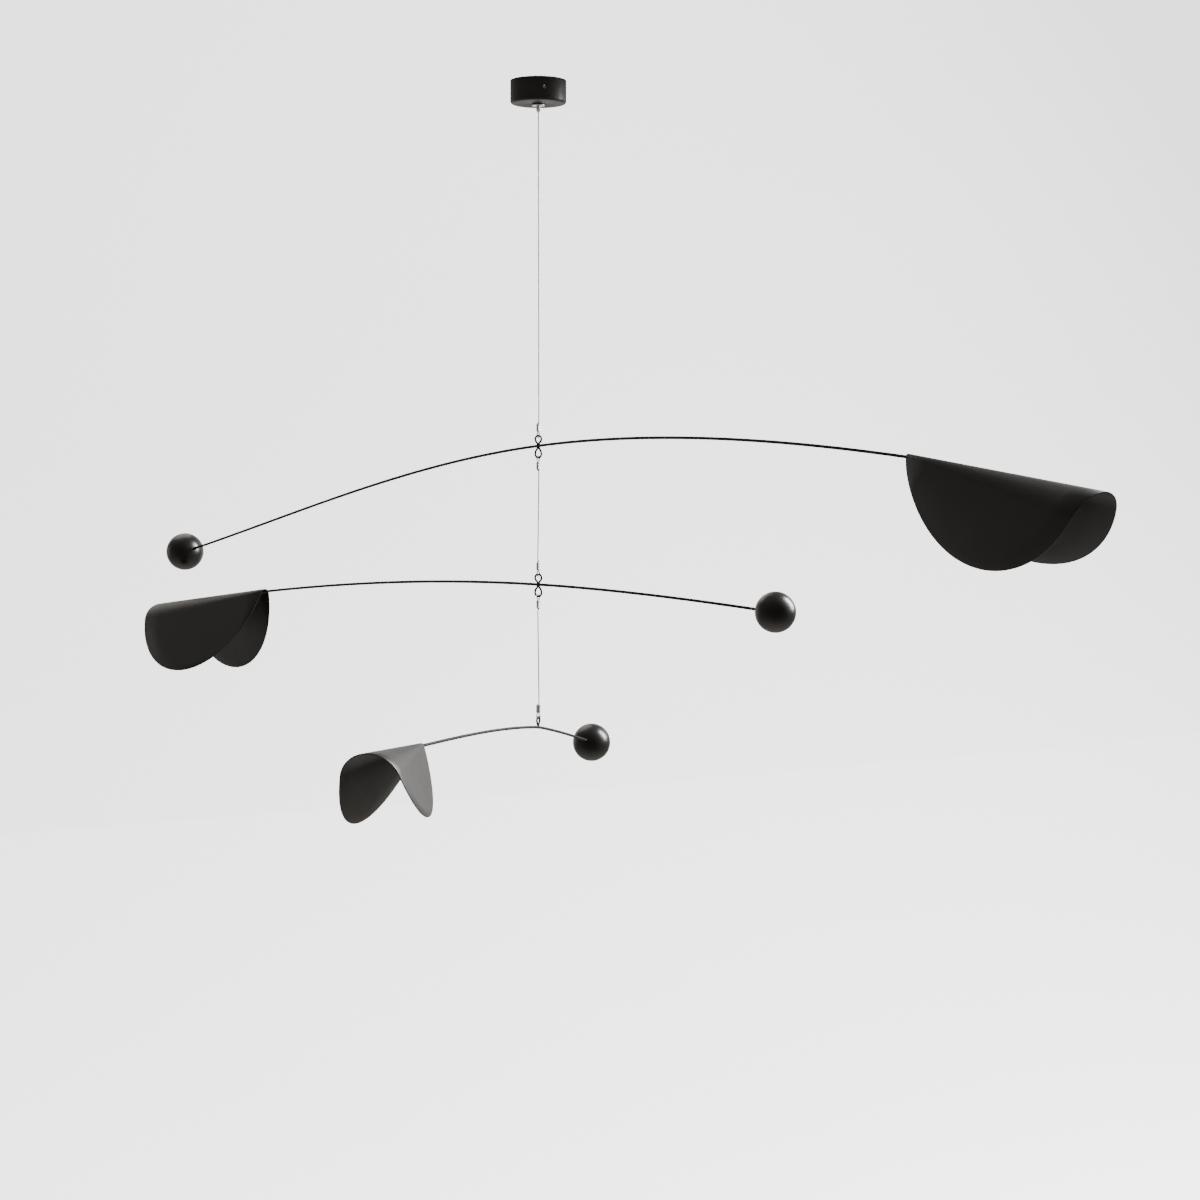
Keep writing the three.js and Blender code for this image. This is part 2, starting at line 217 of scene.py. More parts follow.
def bore(piece: bpy.types.Object, tool: bpy.types.Object) -> None:
    """Cut a tool's shape out of a piece and discard the tool.

    Args:
        piece: The piece that is cut.
        tool: The shape that is taken out.
    """
    modify(piece, "BOOLEAN", operation="DIFFERENCE", solver="EXACT", object=tool)
    bpy.data.objects.remove(tool)


def settle(piece: bpy.types.Object, azimuth: float = 0.0) -> None:
    """Turn a piece about Z and put its place into its mesh.

    Args:
        piece: The piece.
        azimuth: The turn in degrees.
    """
    take(piece)
    turn = Matrix.Rotation(math.radians(azimuth), 4, "Z")
    piece.matrix_world = turn @ piece.matrix_world
    bpy.ops.object.transform_apply(location=True, rotation=True, scale=True)


def smooth(piece: bpy.types.Object, angle: float = 32.0) -> None:
    """Weld doubles, face everything outwards and smooth all but the sharp edges.

    Args:
        piece: The piece.
        angle: Edges sharper than this stay sharp, in degrees.
    """
    edit(piece)
    bpy.ops.mesh.remove_doubles(threshold=WELD)
    bpy.ops.mesh.normals_make_consistent(inside=False)
    take(piece)
    bpy.ops.object.shade_smooth_by_angle(angle=math.radians(angle))


def combine(name: str, pieces: Sequence[bpy.types.Object]) -> bpy.types.Object:
    """Join several shells into one piece.

    Args:
        name: The joined piece's name.
        pieces: The shells.

    Returns:
        The joined piece.
    """
    take(pieces[0])
    for piece in pieces[1:]:
        piece.select_set(True)
    bpy.ops.object.join()
    pieces[0].name = name
    return pieces[0]


def spun(name: str, profile: Sequence[tuple[float, float]], steps: int) -> bpy.types.Object:
    """Spin a closed half profile about Z.

    Args:
        name: The piece's name.
        profile: Radius and height of each corner, in order.
        steps: Faces round the piece.

    Returns:
        The spun piece.
    """
    set_down()
    bpy.ops.mesh.primitive_circle_add(vertices=len(profile), radius=MM)
    piece = bpy.context.object
    piece.name = name
    edit(piece)
    mesh = bmesh.from_edit_mesh(piece.data)
    mesh.verts.ensure_lookup_table()
    for vertex, (radius, height) in zip(mesh.verts, profile):
        vertex.co = (radius, 0.0, height)
    bmesh.update_edit_mesh(piece.data)
    bpy.ops.mesh.spin(steps=steps, angle=2 * math.pi, center=(0, 0, 0), axis=(0, 0, 1))
    bpy.ops.mesh.select_all(action="SELECT")
    bpy.ops.mesh.remove_doubles(threshold=WELD)
    bpy.ops.mesh.normals_make_consistent(inside=False)
    set_down()
    return piece


@dataclass(frozen=True)
class Route:
    """An open line that a bar or a cable follows.

    Attributes:
        points: The points along it.
    """

    points: tuple[Vector, ...]

    def length(self) -> float:
        """Length along the line."""
        return sum((b - a).length for a, b in zip(self.points, self.points[1:]))

    def curve(self) -> bpy.types.Object:
        """The line as a curve that a mesh can be laid along."""
        data = bpy.data.curves.new("route", "CURVE")
        data.dimensions = "3D"
        data.twist_mode = "MINIMUM"
        spline = data.splines.new("POLY")
        spline.points.add(len(self.points) - 1)
        for place, point in zip(spline.points, self.points):
            place.co = (*point, 1.0)
        line = bpy.data.objects.new("route", data)
        bpy.context.scene.collection.objects.link(line)
        return line

    def lay(self, piece: bpy.types.Object, pitch: float, count: int) -> bpy.types.Object:
        """Repeat an open ring section along X, lay it along the line and close its ends.

        Args:
            piece: The section, one pitch long from the origin.
            pitch: Its length.
            count: How many of it the line takes.

        Returns:
            The finished bar.
        """
        modify(
            piece, "ARRAY", fit_type="FIXED_COUNT", count=count, use_relative_offset=False,
            use_constant_offset=True, constant_offset_displace=(pitch, 0, 0),
            use_merge_vertices=True, merge_threshold=WELD,
        )
        line = self.curve()
        bpy.context.view_layer.update()
        modify(piece, "CURVE", object=line, deform_axis="POS_X")
        bpy.data.objects.remove(line)
        edit(piece)
        bpy.ops.mesh.fill_holes(sides=0)
        bpy.ops.mesh.select_all(action="SELECT")
        bpy.ops.mesh.normals_make_consistent(inside=False)
        set_down()
        return piece


def ring_section(name: str, radius: float, sides: int) -> bpy.types.Object:
    """A circle round the X axis at the origin, open in edit mode.

    Args:
        name: The piece's name.
        radius: The circle's radius.
        sides: Its corners.

    Returns:
        The circle.
    """
    set_down()
    bpy.ops.mesh.primitive_circle_add(vertices=sides, radius=radius, rotation=(0, math.pi / 2, 0))
    piece = bpy.context.object
    piece.name = name
    bpy.ops.object.transform_apply(location=True, rotation=True, scale=True)
    edit(piece)
    return piece


def round_bar(name: str, route: Route, radius: float, sides: int, pitch: float) -> bpy.types.Object:
    """A plain round bar along a route, its two end edges rounded off.

    Args:
        name: The piece's name.
        route: Its centre line.
        radius: Its radius.
        sides: Faces round it.
        pitch: About how long each ring of faces is.

    Returns:
        The bar.
    """
    count = max(2, round(route.length() / pitch))
    step = route.length() / count
    piece = ring_section(name, radius, sides)
    draw_out(Vector((step, 0, 0)))
    route.lay(piece, step, count)
    edit(piece)
    pick_faces(piece, lambda face: len(face.verts) == sides)
    bpy.ops.mesh.region_to_loop()
    bevel(radius * 0.4, 3)
    set_down()
    return piece


@dataclass(frozen=True)
class StrandedRope:
    """Six steel strands laid round a core.

    Attributes:
        radius: Radius over the strands.
        lay: Length of one turn of the strands.
        strands: How many show.
        turns: Ring sections in one lay.
        shoulder: Radius of the cable between a strand's crown and the groove beside it, as a share.
        groove: Radius of the cable in a groove, as a share.
    """

    radius: float = CABLE_RADIUS
    lay: float = 9.0 * MM
    strands: int = 6
    turns: int = 12
    shoulder: float = 0.93
    groove: float = 0.6

    def along(self, name: str, route: Route) -> bpy.types.Object:
        """Make a cable along a route.

        Args:
            name: The piece's name.
            route: Its centre line.

        Returns:
            The cable.
        """
        count = max(1, round(route.length() / self.lay))
        lay = route.length() / count
        piece = ring_section(name, self.radius, 4 * self.strands)
        eighth = 2 * math.pi / (4 * self.strands)
        for share, odd in ((self.shoulder, 1), (self.groove, 2), (self.shoulder, 3)):
            pick_points(piece, lambda point, odd=odd: round(math.atan2(point.z, point.y) / eighth) % 4 == odd)
            resize((1, share, share), Vector((0, 0, 0)))
        bpy.ops.mesh.select_all(action="SELECT")
        for step in range(self.turns):
            draw_out(Vector((lay / self.turns, 0, 0)))
            centre = Vector(((step + 1) * lay / self.turns, 0, 0))
            bpy.ops.transform.rotate(
                value=2 * math.pi / self.turns, orient_axis="X", center_override=tuple(centre)
            )
        return route.lay(piece, lay, count)


# Finishes
class Wiring:
    """Adds nodes to a node tree and links them."""

    def __init__(self, tree: bpy.types.NodeTree) -> None:
        """Start on a tree.

        Args:
            tree: The tree to add to.
        """
        self.tree = tree

    def add(self, kind: str, inputs: dict[str, object] | None = None, **settings: object) -> bpy.types.Node:
        """Add a node.

        Args:
            kind: The node's type, without its ShaderNode prefix.
            inputs: Values or sockets for its inputs, by name or number.
            **settings: Its properties.

        Returns:
            The node.
        """
        node = self.tree.nodes.new("NodeGroup" + kind if kind in ("Input", "Output") else "ShaderNode" + kind)
        for name, value in settings.items():
            setattr(node, name, value)
        for name, value in (inputs or {}).items():
            self.feed(node.inputs[name], value)
        return node

    def feed(self, socket: bpy.types.NodeSocket, value: object) -> None:
        """Give an input a value or link a socket to it.

        Args:
            socket: The input.
            value: A plain value, or the output that drives it.
        """
        if isinstance(value, bpy.types.NodeSocket):
            self.tree.links.new(value, socket)
        else:
            socket.default_value = value

    def coordinates(self) -> bpy.types.NodeSocket:
        """Object coordinates."""
        return self.add("TexCoord").outputs["Object"]

    def noise(
        self, place: bpy.types.NodeSocket, scale: object, detail: float, roughness: float = 0.5,
    ) -> bpy.types.NodeSocket:
        """Add a noise texture.

        Args:
            place: Its coordinates.
            scale: Its scale, a value or a socket.
            detail: Its octaves.
            roughness: How strong the finer octaves are.

        Returns:
            The noise's value.
        """
        inputs = {"Vector": place, "Scale": scale, "Detail": detail, "Roughness": roughness}
        return self.add("TexNoise", inputs).outputs["Fac"]

    def remap(
        self, value: bpy.types.NodeSocket, low: object, high: object, reach: tuple[float, float] = (0.0, 1.0),
    ) -> bpy.types.NodeSocket:
        """Stretch a range of values to another.

        Args:
            value: What is stretched.
            low: Start of its range.
            high: End of its range.
            reach: The new range.

        Returns:
            The stretched value.
        """
        inputs = {"Value": value, "From Min": low, "From Max": high, "To Min": reach[0], "To Max": reach[1]}
        return self.add("MapRange", inputs).outputs["Result"]

    def compute(self, operation: str, *values: object, clamp: bool = False) -> bpy.types.NodeSocket:
        """Add a sum.

        Args:
            operation: The Math node's operation.
            *values: Its inputs in order.
            clamp: Whether the result is kept between 0 and 1.

        Returns:
            The result.
        """
        return self.add("Math", dict(enumerate(values)), operation=operation, use_clamp=clamp).outputs[0]

    def relief(self, depth: float, height: bpy.types.NodeSocket) -> bpy.types.NodeSocket:
        """Add a bump.

        Args:
            depth: Its depth.
            height: Its height, from 0 to 1.

        Returns:
            The bumped normal.
        """
        return self.add("Bump", {"Strength": 1.0, "Distance": depth, "Height": height}).outputs["Normal"]

    def group(self, tree: bpy.types.NodeTree, values: dict[str, float] | None = None) -> bpy.types.Node:
        """Place a shared group.

        Args:
            tree: The group.
            values: Those of its inputs that differ from the usual.

        Returns:
            The group's node.
        """
        return self.add("Group", values, node_tree=tree)

    def blend(self, share: bpy.types.NodeSocket, first: object, second: object) -> bpy.types.NodeSocket:
        """Mix two colours.

        Args:
            share: How much of the second shows.
            first: The colour where the share is nothing.
            second: The colour where the share is all.

        Returns:
            The mixed colour.
        """
        node = self.add("Mix", data_type="RGBA")
        for place, value in ((0, share), (6, first), (7, second)):
            self.feed(node.inputs[place], value)
        return node.outputs[2]


class SharedEffects:
    """Node groups that several finishes use, each built once."""

    def __init__(self) -> None:
        """Build the groups."""
        self.grain = self.make_grain()
        self.edge_wear_and_highlight = self.make_edge_wear_and_highlight()
        self.dust = self.make_dust()

    @staticmethod
    def begin(
        name: str, inputs: dict[str, float], outputs: Sequence[str],
    ) -> tuple[Wiring, bpy.types.Node, bpy.types.Node]:
        """Make an empty group with its sockets.

        Args:
            name: The group's name.
            inputs: Each input's name and usual value.
            outputs: Each output's name.

        Returns:
            The wiring of the group's tree, its input node and its output node.
        """
        tree = bpy.data.node_groups.new(name, "ShaderNodeTree")
        for label, value in inputs.items():
            socket = tree.interface.new_socket(label, in_out="INPUT", socket_type="NodeSocketFloat")
            socket.default_value = value
        for label in outputs:
            tree.interface.new_socket(label, in_out="OUTPUT", socket_type="NodeSocketFloat")
        wiring = Wiring(tree)
        return wiring, wiring.add("Input"), wiring.add("Output")

    def make_grain(self) -> bpy.types.NodeTree:
        """Fine stipple of sprayed paint over a slow unevenness."""
        wiring, given, out = self.begin(
            "sprayed_grain", {"Stipple Scale": 2500.0, "Cloud Scale": 25.0}, ("Height", "Cloud")
        )
        place = wiring.coordinates()
        stipple = wiring.noise(place, given.outputs["Stipple Scale"], 3.0, 0.55)
        cloud = wiring.noise(place, given.outputs["Cloud Scale"], 4.0, 0.6)
        wiring.feed(out.inputs["Height"], wiring.compute("MULTIPLY_ADD", cloud, 0.6, stipple))
        wiring.feed(out.inputs["Cloud"], cloud)
        return wiring.tree

    def make_edge_wear_and_highlight(self) -> bpy.types.NodeTree:
        """Outer edges, partly worn by handling and partly given a painted highlight, broken up by noise."""
        wiring, given, out = self.begin(
            "edge_wear_and_painted_highlight", {"From": 0.52, "To": 0.6, "Breakup Scale": 180.0}, ("Mask",)
        )
        # Convex edges get the mask: rubbed wear and a painted highlight along the edges.
        corners = wiring.add("NewGeometry").outputs["Pointiness"]
        edge = wiring.remap(corners, given.outputs["From"], given.outputs["To"])
        patches = wiring.noise(wiring.coordinates(), given.outputs["Breakup Scale"], 5.0, 0.65)
        broken = wiring.remap(patches, 0.35, 0.65)
        wiring.feed(out.inputs["Mask"], wiring.compute("MULTIPLY", edge, broken, clamp=True))
        return wiring.tree

    def make_dust(self) -> bpy.types.NodeTree:
        """Thin dust on what faces up."""
        wiring, given, out = self.begin("settled_dust", {"Speck Scale": 900.0}, ("Mask",))
        facing = wiring.add("SeparateXYZ", {"Vector": wiring.add("NewGeometry").outputs["Normal"]})
        upward = wiring.remap(facing.outputs["Z"], 0.35, 1.0)
        specks = wiring.noise(wiring.coordinates(), given.outputs["Speck Scale"], 6.0, 0.7)
        thin = wiring.remap(specks, 0.45, 0.75)
        wiring.feed(out.inputs["Mask"], wiring.compute("MULTIPLY", upward, thin, clamp=True))
        return wiring.tree


Colour = tuple[float, float, float, float]


@dataclass(frozen=True)
class PaintedFinish:
    """Black paint on metal: stippled, slightly uneven in gloss, lighter at its edges, partly from rubbed wear
    and partly as a painted highlight.

    Attributes:
        name: The material's name.
        colour: Paint colour.
        edge_wear_and_highlight_colour: Lighter colour of the edges, partly rubbed wear and partly a painted
            highlight.
        dust_colour: Colour of settled dust.
        roughness: Lowest and highest roughness.
        specular: Strength of the paint's reflection.
        stipple_scale: Stipples to the metre.
        cloud_scale: Slow patches to the metre.
        stipple_height: Height of the stipple.
        edge_wear_and_highlight_share: How much of that lighter edge colour shows.
        dust_share: How much dust shows.
    """

    name: str
    colour: Colour
    edge_wear_and_highlight_colour: Colour
    dust_colour: Colour = (0.16, 0.155, 0.15, 1.0)
    roughness: tuple[float, float] = (0.4, 0.5)
    specular: float = 0.35
    stipple_scale: float = 2500.0
    cloud_scale: float = 25.0
    stipple_height: float = 0.02 * MM
    edge_wear_and_highlight_share: float = 0.5
    dust_share: float = 0.06

    def make(self, effects: SharedEffects) -> bpy.types.Material:
        """Build the material.

        Args:
            effects: The shared node groups.

        Returns:
            The material.
        """
        material = bpy.data.materials.new(self.name)
        material.use_nodes = True
        wiring = Wiring(material.node_tree)
        shader = material.node_tree.nodes["Principled BSDF"]
        grain = wiring.group(
            effects.grain, {"Stipple Scale": self.stipple_scale, "Cloud Scale": self.cloud_scale}
        )
        edges = wiring.group(effects.edge_wear_and_highlight).outputs["Mask"]
        dust = wiring.group(effects.dust).outputs["Mask"]
        worn_and_highlit_edges = wiring.compute("MULTIPLY", edges, self.edge_wear_and_highlight_share)
        dusty = wiring.compute("MULTIPLY", dust, self.dust_share)
        # Lighter colour on the edges: partly rubbed wear, partly a painted highlight where the edges catch
        # the light.
        painted = wiring.blend(worn_and_highlit_edges, self.colour, self.edge_wear_and_highlight_colour)
        gloss = wiring.remap(grain.outputs["Cloud"], 0.3, 0.7, self.roughness)
        wiring.feed(shader.inputs["Base Color"], wiring.blend(dusty, painted, self.dust_colour))
        wiring.feed(shader.inputs["Roughness"], wiring.compute("MULTIPLY_ADD", dusty, 0.5, gloss))
        wiring.feed(shader.inputs["Normal"], wiring.relief(self.stipple_height, grain.outputs["Height"]))
        shader.inputs["Specular IOR Level"].default_value = self.specular
        return material


@dataclass(frozen=True)
class SteelFinish:
    """Bare bright metal with fine scratches and darker tarnish.

    Attributes:
        name: The material's name.
        colour: Clean metal.
        tarnish: Darker patches.
        roughness: Lowest and highest roughness.
        scratch_scale: Scratches to the metre across the piece.
        stretch: How much longer the scratches are along Z.
        scratch_depth: Their depth.
    """

    name: str
    colour: Colour
    tarnish: Colour
    roughness: tuple[float, float] = (0.25, 0.4)
    scratch_scale: float = 4000.0
    stretch: float = 0.08
    scratch_depth: float = 0.01 * MM

    def make(self, effects: SharedEffects) -> bpy.types.Material:
        """Build the material.

        Args:
            effects: The shared node groups.

        Returns:
            The material.
        """
        material = bpy.data.materials.new(self.name)
        material.use_nodes = True
        wiring = Wiring(material.node_tree)
        shader = material.node_tree.nodes["Principled BSDF"]
        drawn = wiring.add("Mapping", {"Vector": wiring.coordinates(), "Scale": (1.0, 1.0, self.stretch)})
        scratches = wiring.noise(drawn.outputs["Vector"], self.scratch_scale, 4.0, 0.7)
        cloud = wiring.group(effects.grain, {"Cloud Scale": 120.0}).outputs["Cloud"]
        # The shared edge mask keeps tarnish off the edges: partly rubbed wear, partly a painted highlight.
        edge_wear_and_highlight = wiring.group(effects.edge_wear_and_highlight, {"Breakup Scale": 400.0}).outputs["Mask"]
        dull = wiring.compute("SUBTRACT", wiring.remap(cloud, 0.35, 0.7), edge_wear_and_highlight, clamp=True)
        gloss = wiring.remap(scratches, 0.3, 0.7, self.roughness)
        wiring.feed(shader.inputs["Base Color"], wiring.blend(dull, self.colour, self.tarnish))
        wiring.feed(shader.inputs["Roughness"], gloss)
        wiring.feed(shader.inputs["Normal"], wiring.relief(self.scratch_depth, scratches))
        shader.inputs["Metallic"].default_value = 1.0
        return material


class Finishes:
    """Every finish of the mobile, as materials."""

    def __init__(self) -> None:
        """Build the materials."""
        effects = SharedEffects()
        self.cup = PaintedFinish(
            "cup_black", (0.009, 0.0085, 0.008, 1), (0.03, 0.03, 0.03, 1),
            roughness=(0.46, 0.54), specular=0.32, edge_wear_and_highlight_share=0.3,
        ).make(effects)
        self.rod = PaintedFinish(
            "rod_black", (0.006, 0.0056, 0.0053, 1), (0.03, 0.029, 0.027, 1),
            roughness=(0.52, 0.6), specular=0.25, edge_wear_and_highlight_share=0.3,
        ).make(effects)
        self.sheet = PaintedFinish(
            "sheet_black", (0.01, 0.0095, 0.009, 1), (0.03, 0.029, 0.027, 1), roughness=(0.44, 0.52),
            specular=0.4, stipple_scale=2200.0, stipple_height=0.012 * MM, edge_wear_and_highlight_share=0.2,
        ).make(effects)
        self.ball = PaintedFinish(
            "ball_black", (0.0035, 0.0035, 0.0035, 1), (0.02, 0.02, 0.02, 1), roughness=(0.3, 0.36),
            specular=0.5, stipple_height=0.004 * MM, stipple_scale=1400.0, edge_wear_and_highlight_share=0.0, dust_share=0.03,
        ).make(effects)
        self.cable = SteelFinish("cable_steel", (0.3, 0.3, 0.295, 1), (0.16, 0.155, 0.15, 1)).make(effects)
        self.sleeve = SteelFinish(
            "sleeve_metal", (0.75, 0.75, 0.74, 1), (0.45, 0.45, 0.44, 1), roughness=(0.45, 0.6)
        ).make(effects)
        self.fitting = SteelFinish(
            "fitting_nickel", (0.7, 0.7, 0.69, 1), (0.5, 0.5, 0.49, 1), roughness=(0.2, 0.32)
        ).make(effects)


def dress(
    piece: bpy.types.Object, material: bpy.types.Material, body: Body | tuple[Body, Body],
    nodes: Sequence[str],
) -> None:
    """Give a finished piece its material and its place in the frame.

    Args:
        piece: The piece.
        material: Its finish.
        body: The body that it rides on, or the two that it twists between.
        nodes: The frame's nodes that it stands for.
    """
    set_down()
    piece.data.materials.clear()
    piece.data.materials.append(material)
    for polygon in piece.data.polygons:
        polygon.material_index = 0
    if isinstance(body, Body):
        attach(piece, body.value)
    else:
        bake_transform(piece)
    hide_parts(*nodes)
    LOG.info("%s: %d faces, stands for %s", piece.name, len(piece.data.polygons), ", ".join(nodes))


# The mobile's sub-assemblies
@dataclass
class CeilingCup:
    """The cup against the ceiling, with its grub screw and the gland that holds the top cable.

    Attributes:
        radius: Outer radius of the cup.
        height: Its height.
        wall: Its wall.
        edge_radius: Radius of its lower edge.
        relief: Radius inside, between floor and wall.
        screw_radius: Radius of the grub screw.
        screw_length: Its length.
        screw_sunk: How far it sits below the cup's surface.
        screw_drop: Its distance below the ceiling.
        screw_azimuth: Its direction in degrees.
        socket_across: Size of its hexagon socket.
        socket_depth: Depth of that socket.
        shank_radius: Radius of the gland's threaded shank.
        flange_radius: Radius of its flange.
        flange_thickness: Thickness of its flange.
        nose_radius: Radius of its nose.
        tip_radius: Radius of the nose's tip.
        nose_length: Straight part of the nose.
        taper_length: Tapered part of the nose.
        thread_pitch: Distance between the thread's crests.
        sides: Faces round the cup.
        screw_sides: Faces round the grub screw.
        soft: Rounding of the rim and of the screw's ends.
        turned: Rounding of the flange's edges.
        thread_depth: Depth of the shank's thread.
    """

    radius: float = 30.0 * MM
    height: float = CUP_HEIGHT
    wall: float = 2.0 * MM
    edge_radius: float = 2.6 * MM
    relief: float = 0.8 * MM
    screw_radius: float = 1.85 * MM
    screw_length: float = 5.0 * MM
    screw_sunk: float = 0.4 * MM
    screw_drop: float = 11.6 * MM
    screw_azimuth: float = -75.2
    socket_across: float = 2.0 * MM
    socket_depth: float = 1.6 * MM
    shank_radius: float = 3.5 * MM
    flange_radius: float = 7.0 * MM
    flange_thickness: float = 1.8 * MM
    nose_radius: float = 2.4 * MM
    tip_radius: float = 1.4 * MM
    nose_length: float = 4.4 * MM
    taper_length: float = 2.6 * MM
    thread_pitch: float = 0.75 * MM
    sides: int = 128
    screw_sides: int = 48
    soft: float = 0.3 * MM
    turned: float = 0.4 * MM
    thread_depth: float = 0.35 * MM

    def build(self, finishes: Finishes) -> None:
        """Model the three pieces and dress them.

        Args:
            finishes: The mobile's materials.
        """
        dress(self.cup(), finishes.cup, Body.CEILING, ["canopy"])
        dress(self.grub_screw(), finishes.cable, Body.CEILING, ["canopy_screw"])
        dress(self.gland(), finishes.fitting, Body.CEILING, ["cable_gland"])

    def cup(self) -> bpy.types.Object:
        """The cup: a cylinder hollowed from above, with a hole for the gland and one for the screw."""
        hole = self.shank_radius + GAP
        floor = self.wall - self.height
        set_down()
        bpy.ops.mesh.primitive_cylinder_add(
            vertices=self.sides, radius=self.radius, depth=self.height, location=(0, 0, -self.height / 2)
        )
        piece = bpy.context.object
        piece.name = "ceiling_cup"
        settle(piece)
        edit(piece)
        pick_edges(piece, lambda a, b: max(a.z, b.z) < WELD - self.height)
        bevel(self.edge_radius, 10)
        pick_faces(piece, lambda face: face.normal.z > 0.9 and len(face.verts) > 4)
        bpy.ops.mesh.inset(thickness=self.wall)
        draw_out(Vector((0, 0, floor)))
        bpy.ops.mesh.region_to_loop()
        bevel(self.relief, 4)
        bottom = -self.height

        def flat_at(face: bmesh.types.BMFace, height: float) -> bool:
            """Whether a face is the large flat one at a height."""
            return len(face.verts) > 4 and abs(face.calc_center_median().z - height) < WELD

        def at_hole(a: Vector, b: Vector) -> bool:
            """Whether an edge lies on the gland's hole."""
            return max(a.xy.length, b.xy.length) < hole + 10 * WELD

        pick_faces(piece, lambda face: flat_at(face, floor))
        bpy.ops.mesh.inset(thickness=self.radius - self.wall - self.relief - hole)
        pick_faces(piece, lambda face: flat_at(face, bottom))
        bpy.ops.mesh.inset(thickness=self.radius - self.edge_radius - hole)
        bpy.ops.mesh.delete(type="FACE")
        pick_faces(piece, lambda face: flat_at(face, floor))
        bpy.ops.mesh.delete(type="FACE")
        pick_edges(piece, at_hole)
        bpy.ops.mesh.bridge_edge_loops()
        pick_edges(piece, lambda a, b: at_hole(a, b) and abs(a.z - b.z) < WELD)
        bevel(0.25 * MM, 2)
        pick_edges(piece, lambda a, b: min(a.z, b.z) > -WELD)
        bevel(self.soft, 3)
        set_down()
        hollow = self.screw_radius + GAP
        bore(piece, self.radial_tool(hollow, 4 * self.wall, self.radius, self.screw_sides))
        bore(piece, self.radial_tool(hollow + GAP, 2 * GAP, self.radius, self.screw_sides))
        smooth(piece)
        return piece

    def radial_tool(self, radius: float, length: float, reach: float, sides: int) -> bpy.types.Object:
        """A cylinder along the grub screw's line.

        Args:
            radius: Its radius.
            length: Its length.
            reach: Distance of its middle from the cup's axis.
            sides: Faces round it.

        Returns:
            The cylinder.
        """
        set_down()
        bpy.ops.mesh.primitive_cylinder_add(
            vertices=sides, radius=radius, depth=length,
            location=(reach, 0, -self.screw_drop), rotation=(0, math.pi / 2, 0),
        )
        piece = bpy.context.object
        settle(piece, self.screw_azimuth)
        return piece

    def grub_screw(self) -> bpy.types.Object:
        """The screw: a short bar with rounded ends and a hexagon socket."""
        face = self.radius - self.screw_sunk
        middle = face - self.screw_length / 2
        piece = self.radial_tool(self.screw_radius, self.screw_length, middle, self.screw_sides)
        piece.name = "grub_screw"
        edit(piece)
        pick_faces(piece, lambda end: len(end.verts) > 4)
        bpy.ops.mesh.region_to_loop()
        bevel(self.soft, 3)
        set_down()
        socket = self.socket_across / 2 / math.cos(math.pi / 6)
        bore(piece, self.radial_tool(socket, 2 * self.socket_depth, face, 6))
        smooth(piece)
        return piece

    def gland(self) -> bpy.types.Object:
        """The gland: a threaded shank, a turned flange and a tapered nose with a groove."""
        inside = CABLE_RADIUS + GAP
        top = -self.height - GAP
        under = top - self.flange_thickness
        shoulder = under - self.nose_length
        tip = shoulder - self.taper_length
        crown = SHANK_RISE - self.height
        root = self.shank_radius - self.thread_depth
        thread: list[tuple[float, float]] = []
        count = int((crown - top - 2 * self.soft) / self.thread_pitch)
        for turn in range(count):
            low = top + self.soft + turn * self.thread_pitch
            thread += [
                (root, low),
                (self.shank_radius, low + 0.45 * self.thread_pitch),
                (self.shank_radius, low + 0.55 * self.thread_pitch),
            ]
        rounding = [
            (
                self.flange_radius - self.turned + self.turned * math.cos(angle),
                under + self.turned - self.turned * math.sin(angle),
            )
            for angle in (math.pi / 2 - step * math.pi / 12 for step in range(7))
        ]
        profile = [
            (inside, crown),
            (inside, tip + 0.2 * MM),
            (inside + 0.15 * MM, tip),
            (self.tip_radius - 0.2 * MM, tip),
            (self.tip_radius, tip + 0.2 * MM),
            (self.nose_radius - 0.1 * MM, shoulder - 0.05 * MM),
            (self.nose_radius, shoulder + 0.15 * MM),
            (self.nose_radius, under - 1.9 * MM),
            (self.nose_radius - 0.25 * MM, under - 1.75 * MM),
            (self.nose_radius - 0.25 * MM, under - 1.35 * MM),
            (self.nose_radius, under - 1.2 * MM),
            (self.nose_radius, under - 0.25 * MM),
            (self.nose_radius + 0.25 * MM, under),
            *rounding,
            (self.flange_radius, top - self.turned),
            (self.flange_radius - 0.3 * self.turned, top - 0.3 * self.turned),
            (self.flange_radius - self.turned, top),
            (root, top),
            *thread,
            (root, crown - self.soft),
            (self.shank_radius - 0.5 * MM, crown),
        ]
        piece = spun("cable_gland_turned", profile, 72)
        smooth(piece, 25.0)
        return piece


@dataclass(frozen=True)
class RodSide:
    """How one side of an arm's rod rises and falls.

    Attributes:
        slope: Slope at the pivot.
        bow: Share of the reach by which it bows.
        relax: Share of the reach by which the bow eases.
    """

    slope: float
    bow: float
    relax: float

    def height(self, distance: float, reach: float) -> float:
        """Height over the pivot.

        Args:
            distance: Signed distance from the pivot.
            reach: This side's whole reach.

        Returns:
            The height.
        """
        share = distance / reach
        return distance * (self.slope + self.bow * share + self.relax * share**2)


@dataclass(frozen=True)
class Flap:
    """One half of a wing.

    Attributes:
        half_width: Half width of the flat plate on this side.
        fold_angle: How far the sheet wraps round the fold's cone, in degrees.
        curl: How strongly the flap curls in below the fold, or out where it is negative.
    """

    half_width: float
    fold_angle: float
    curl: float


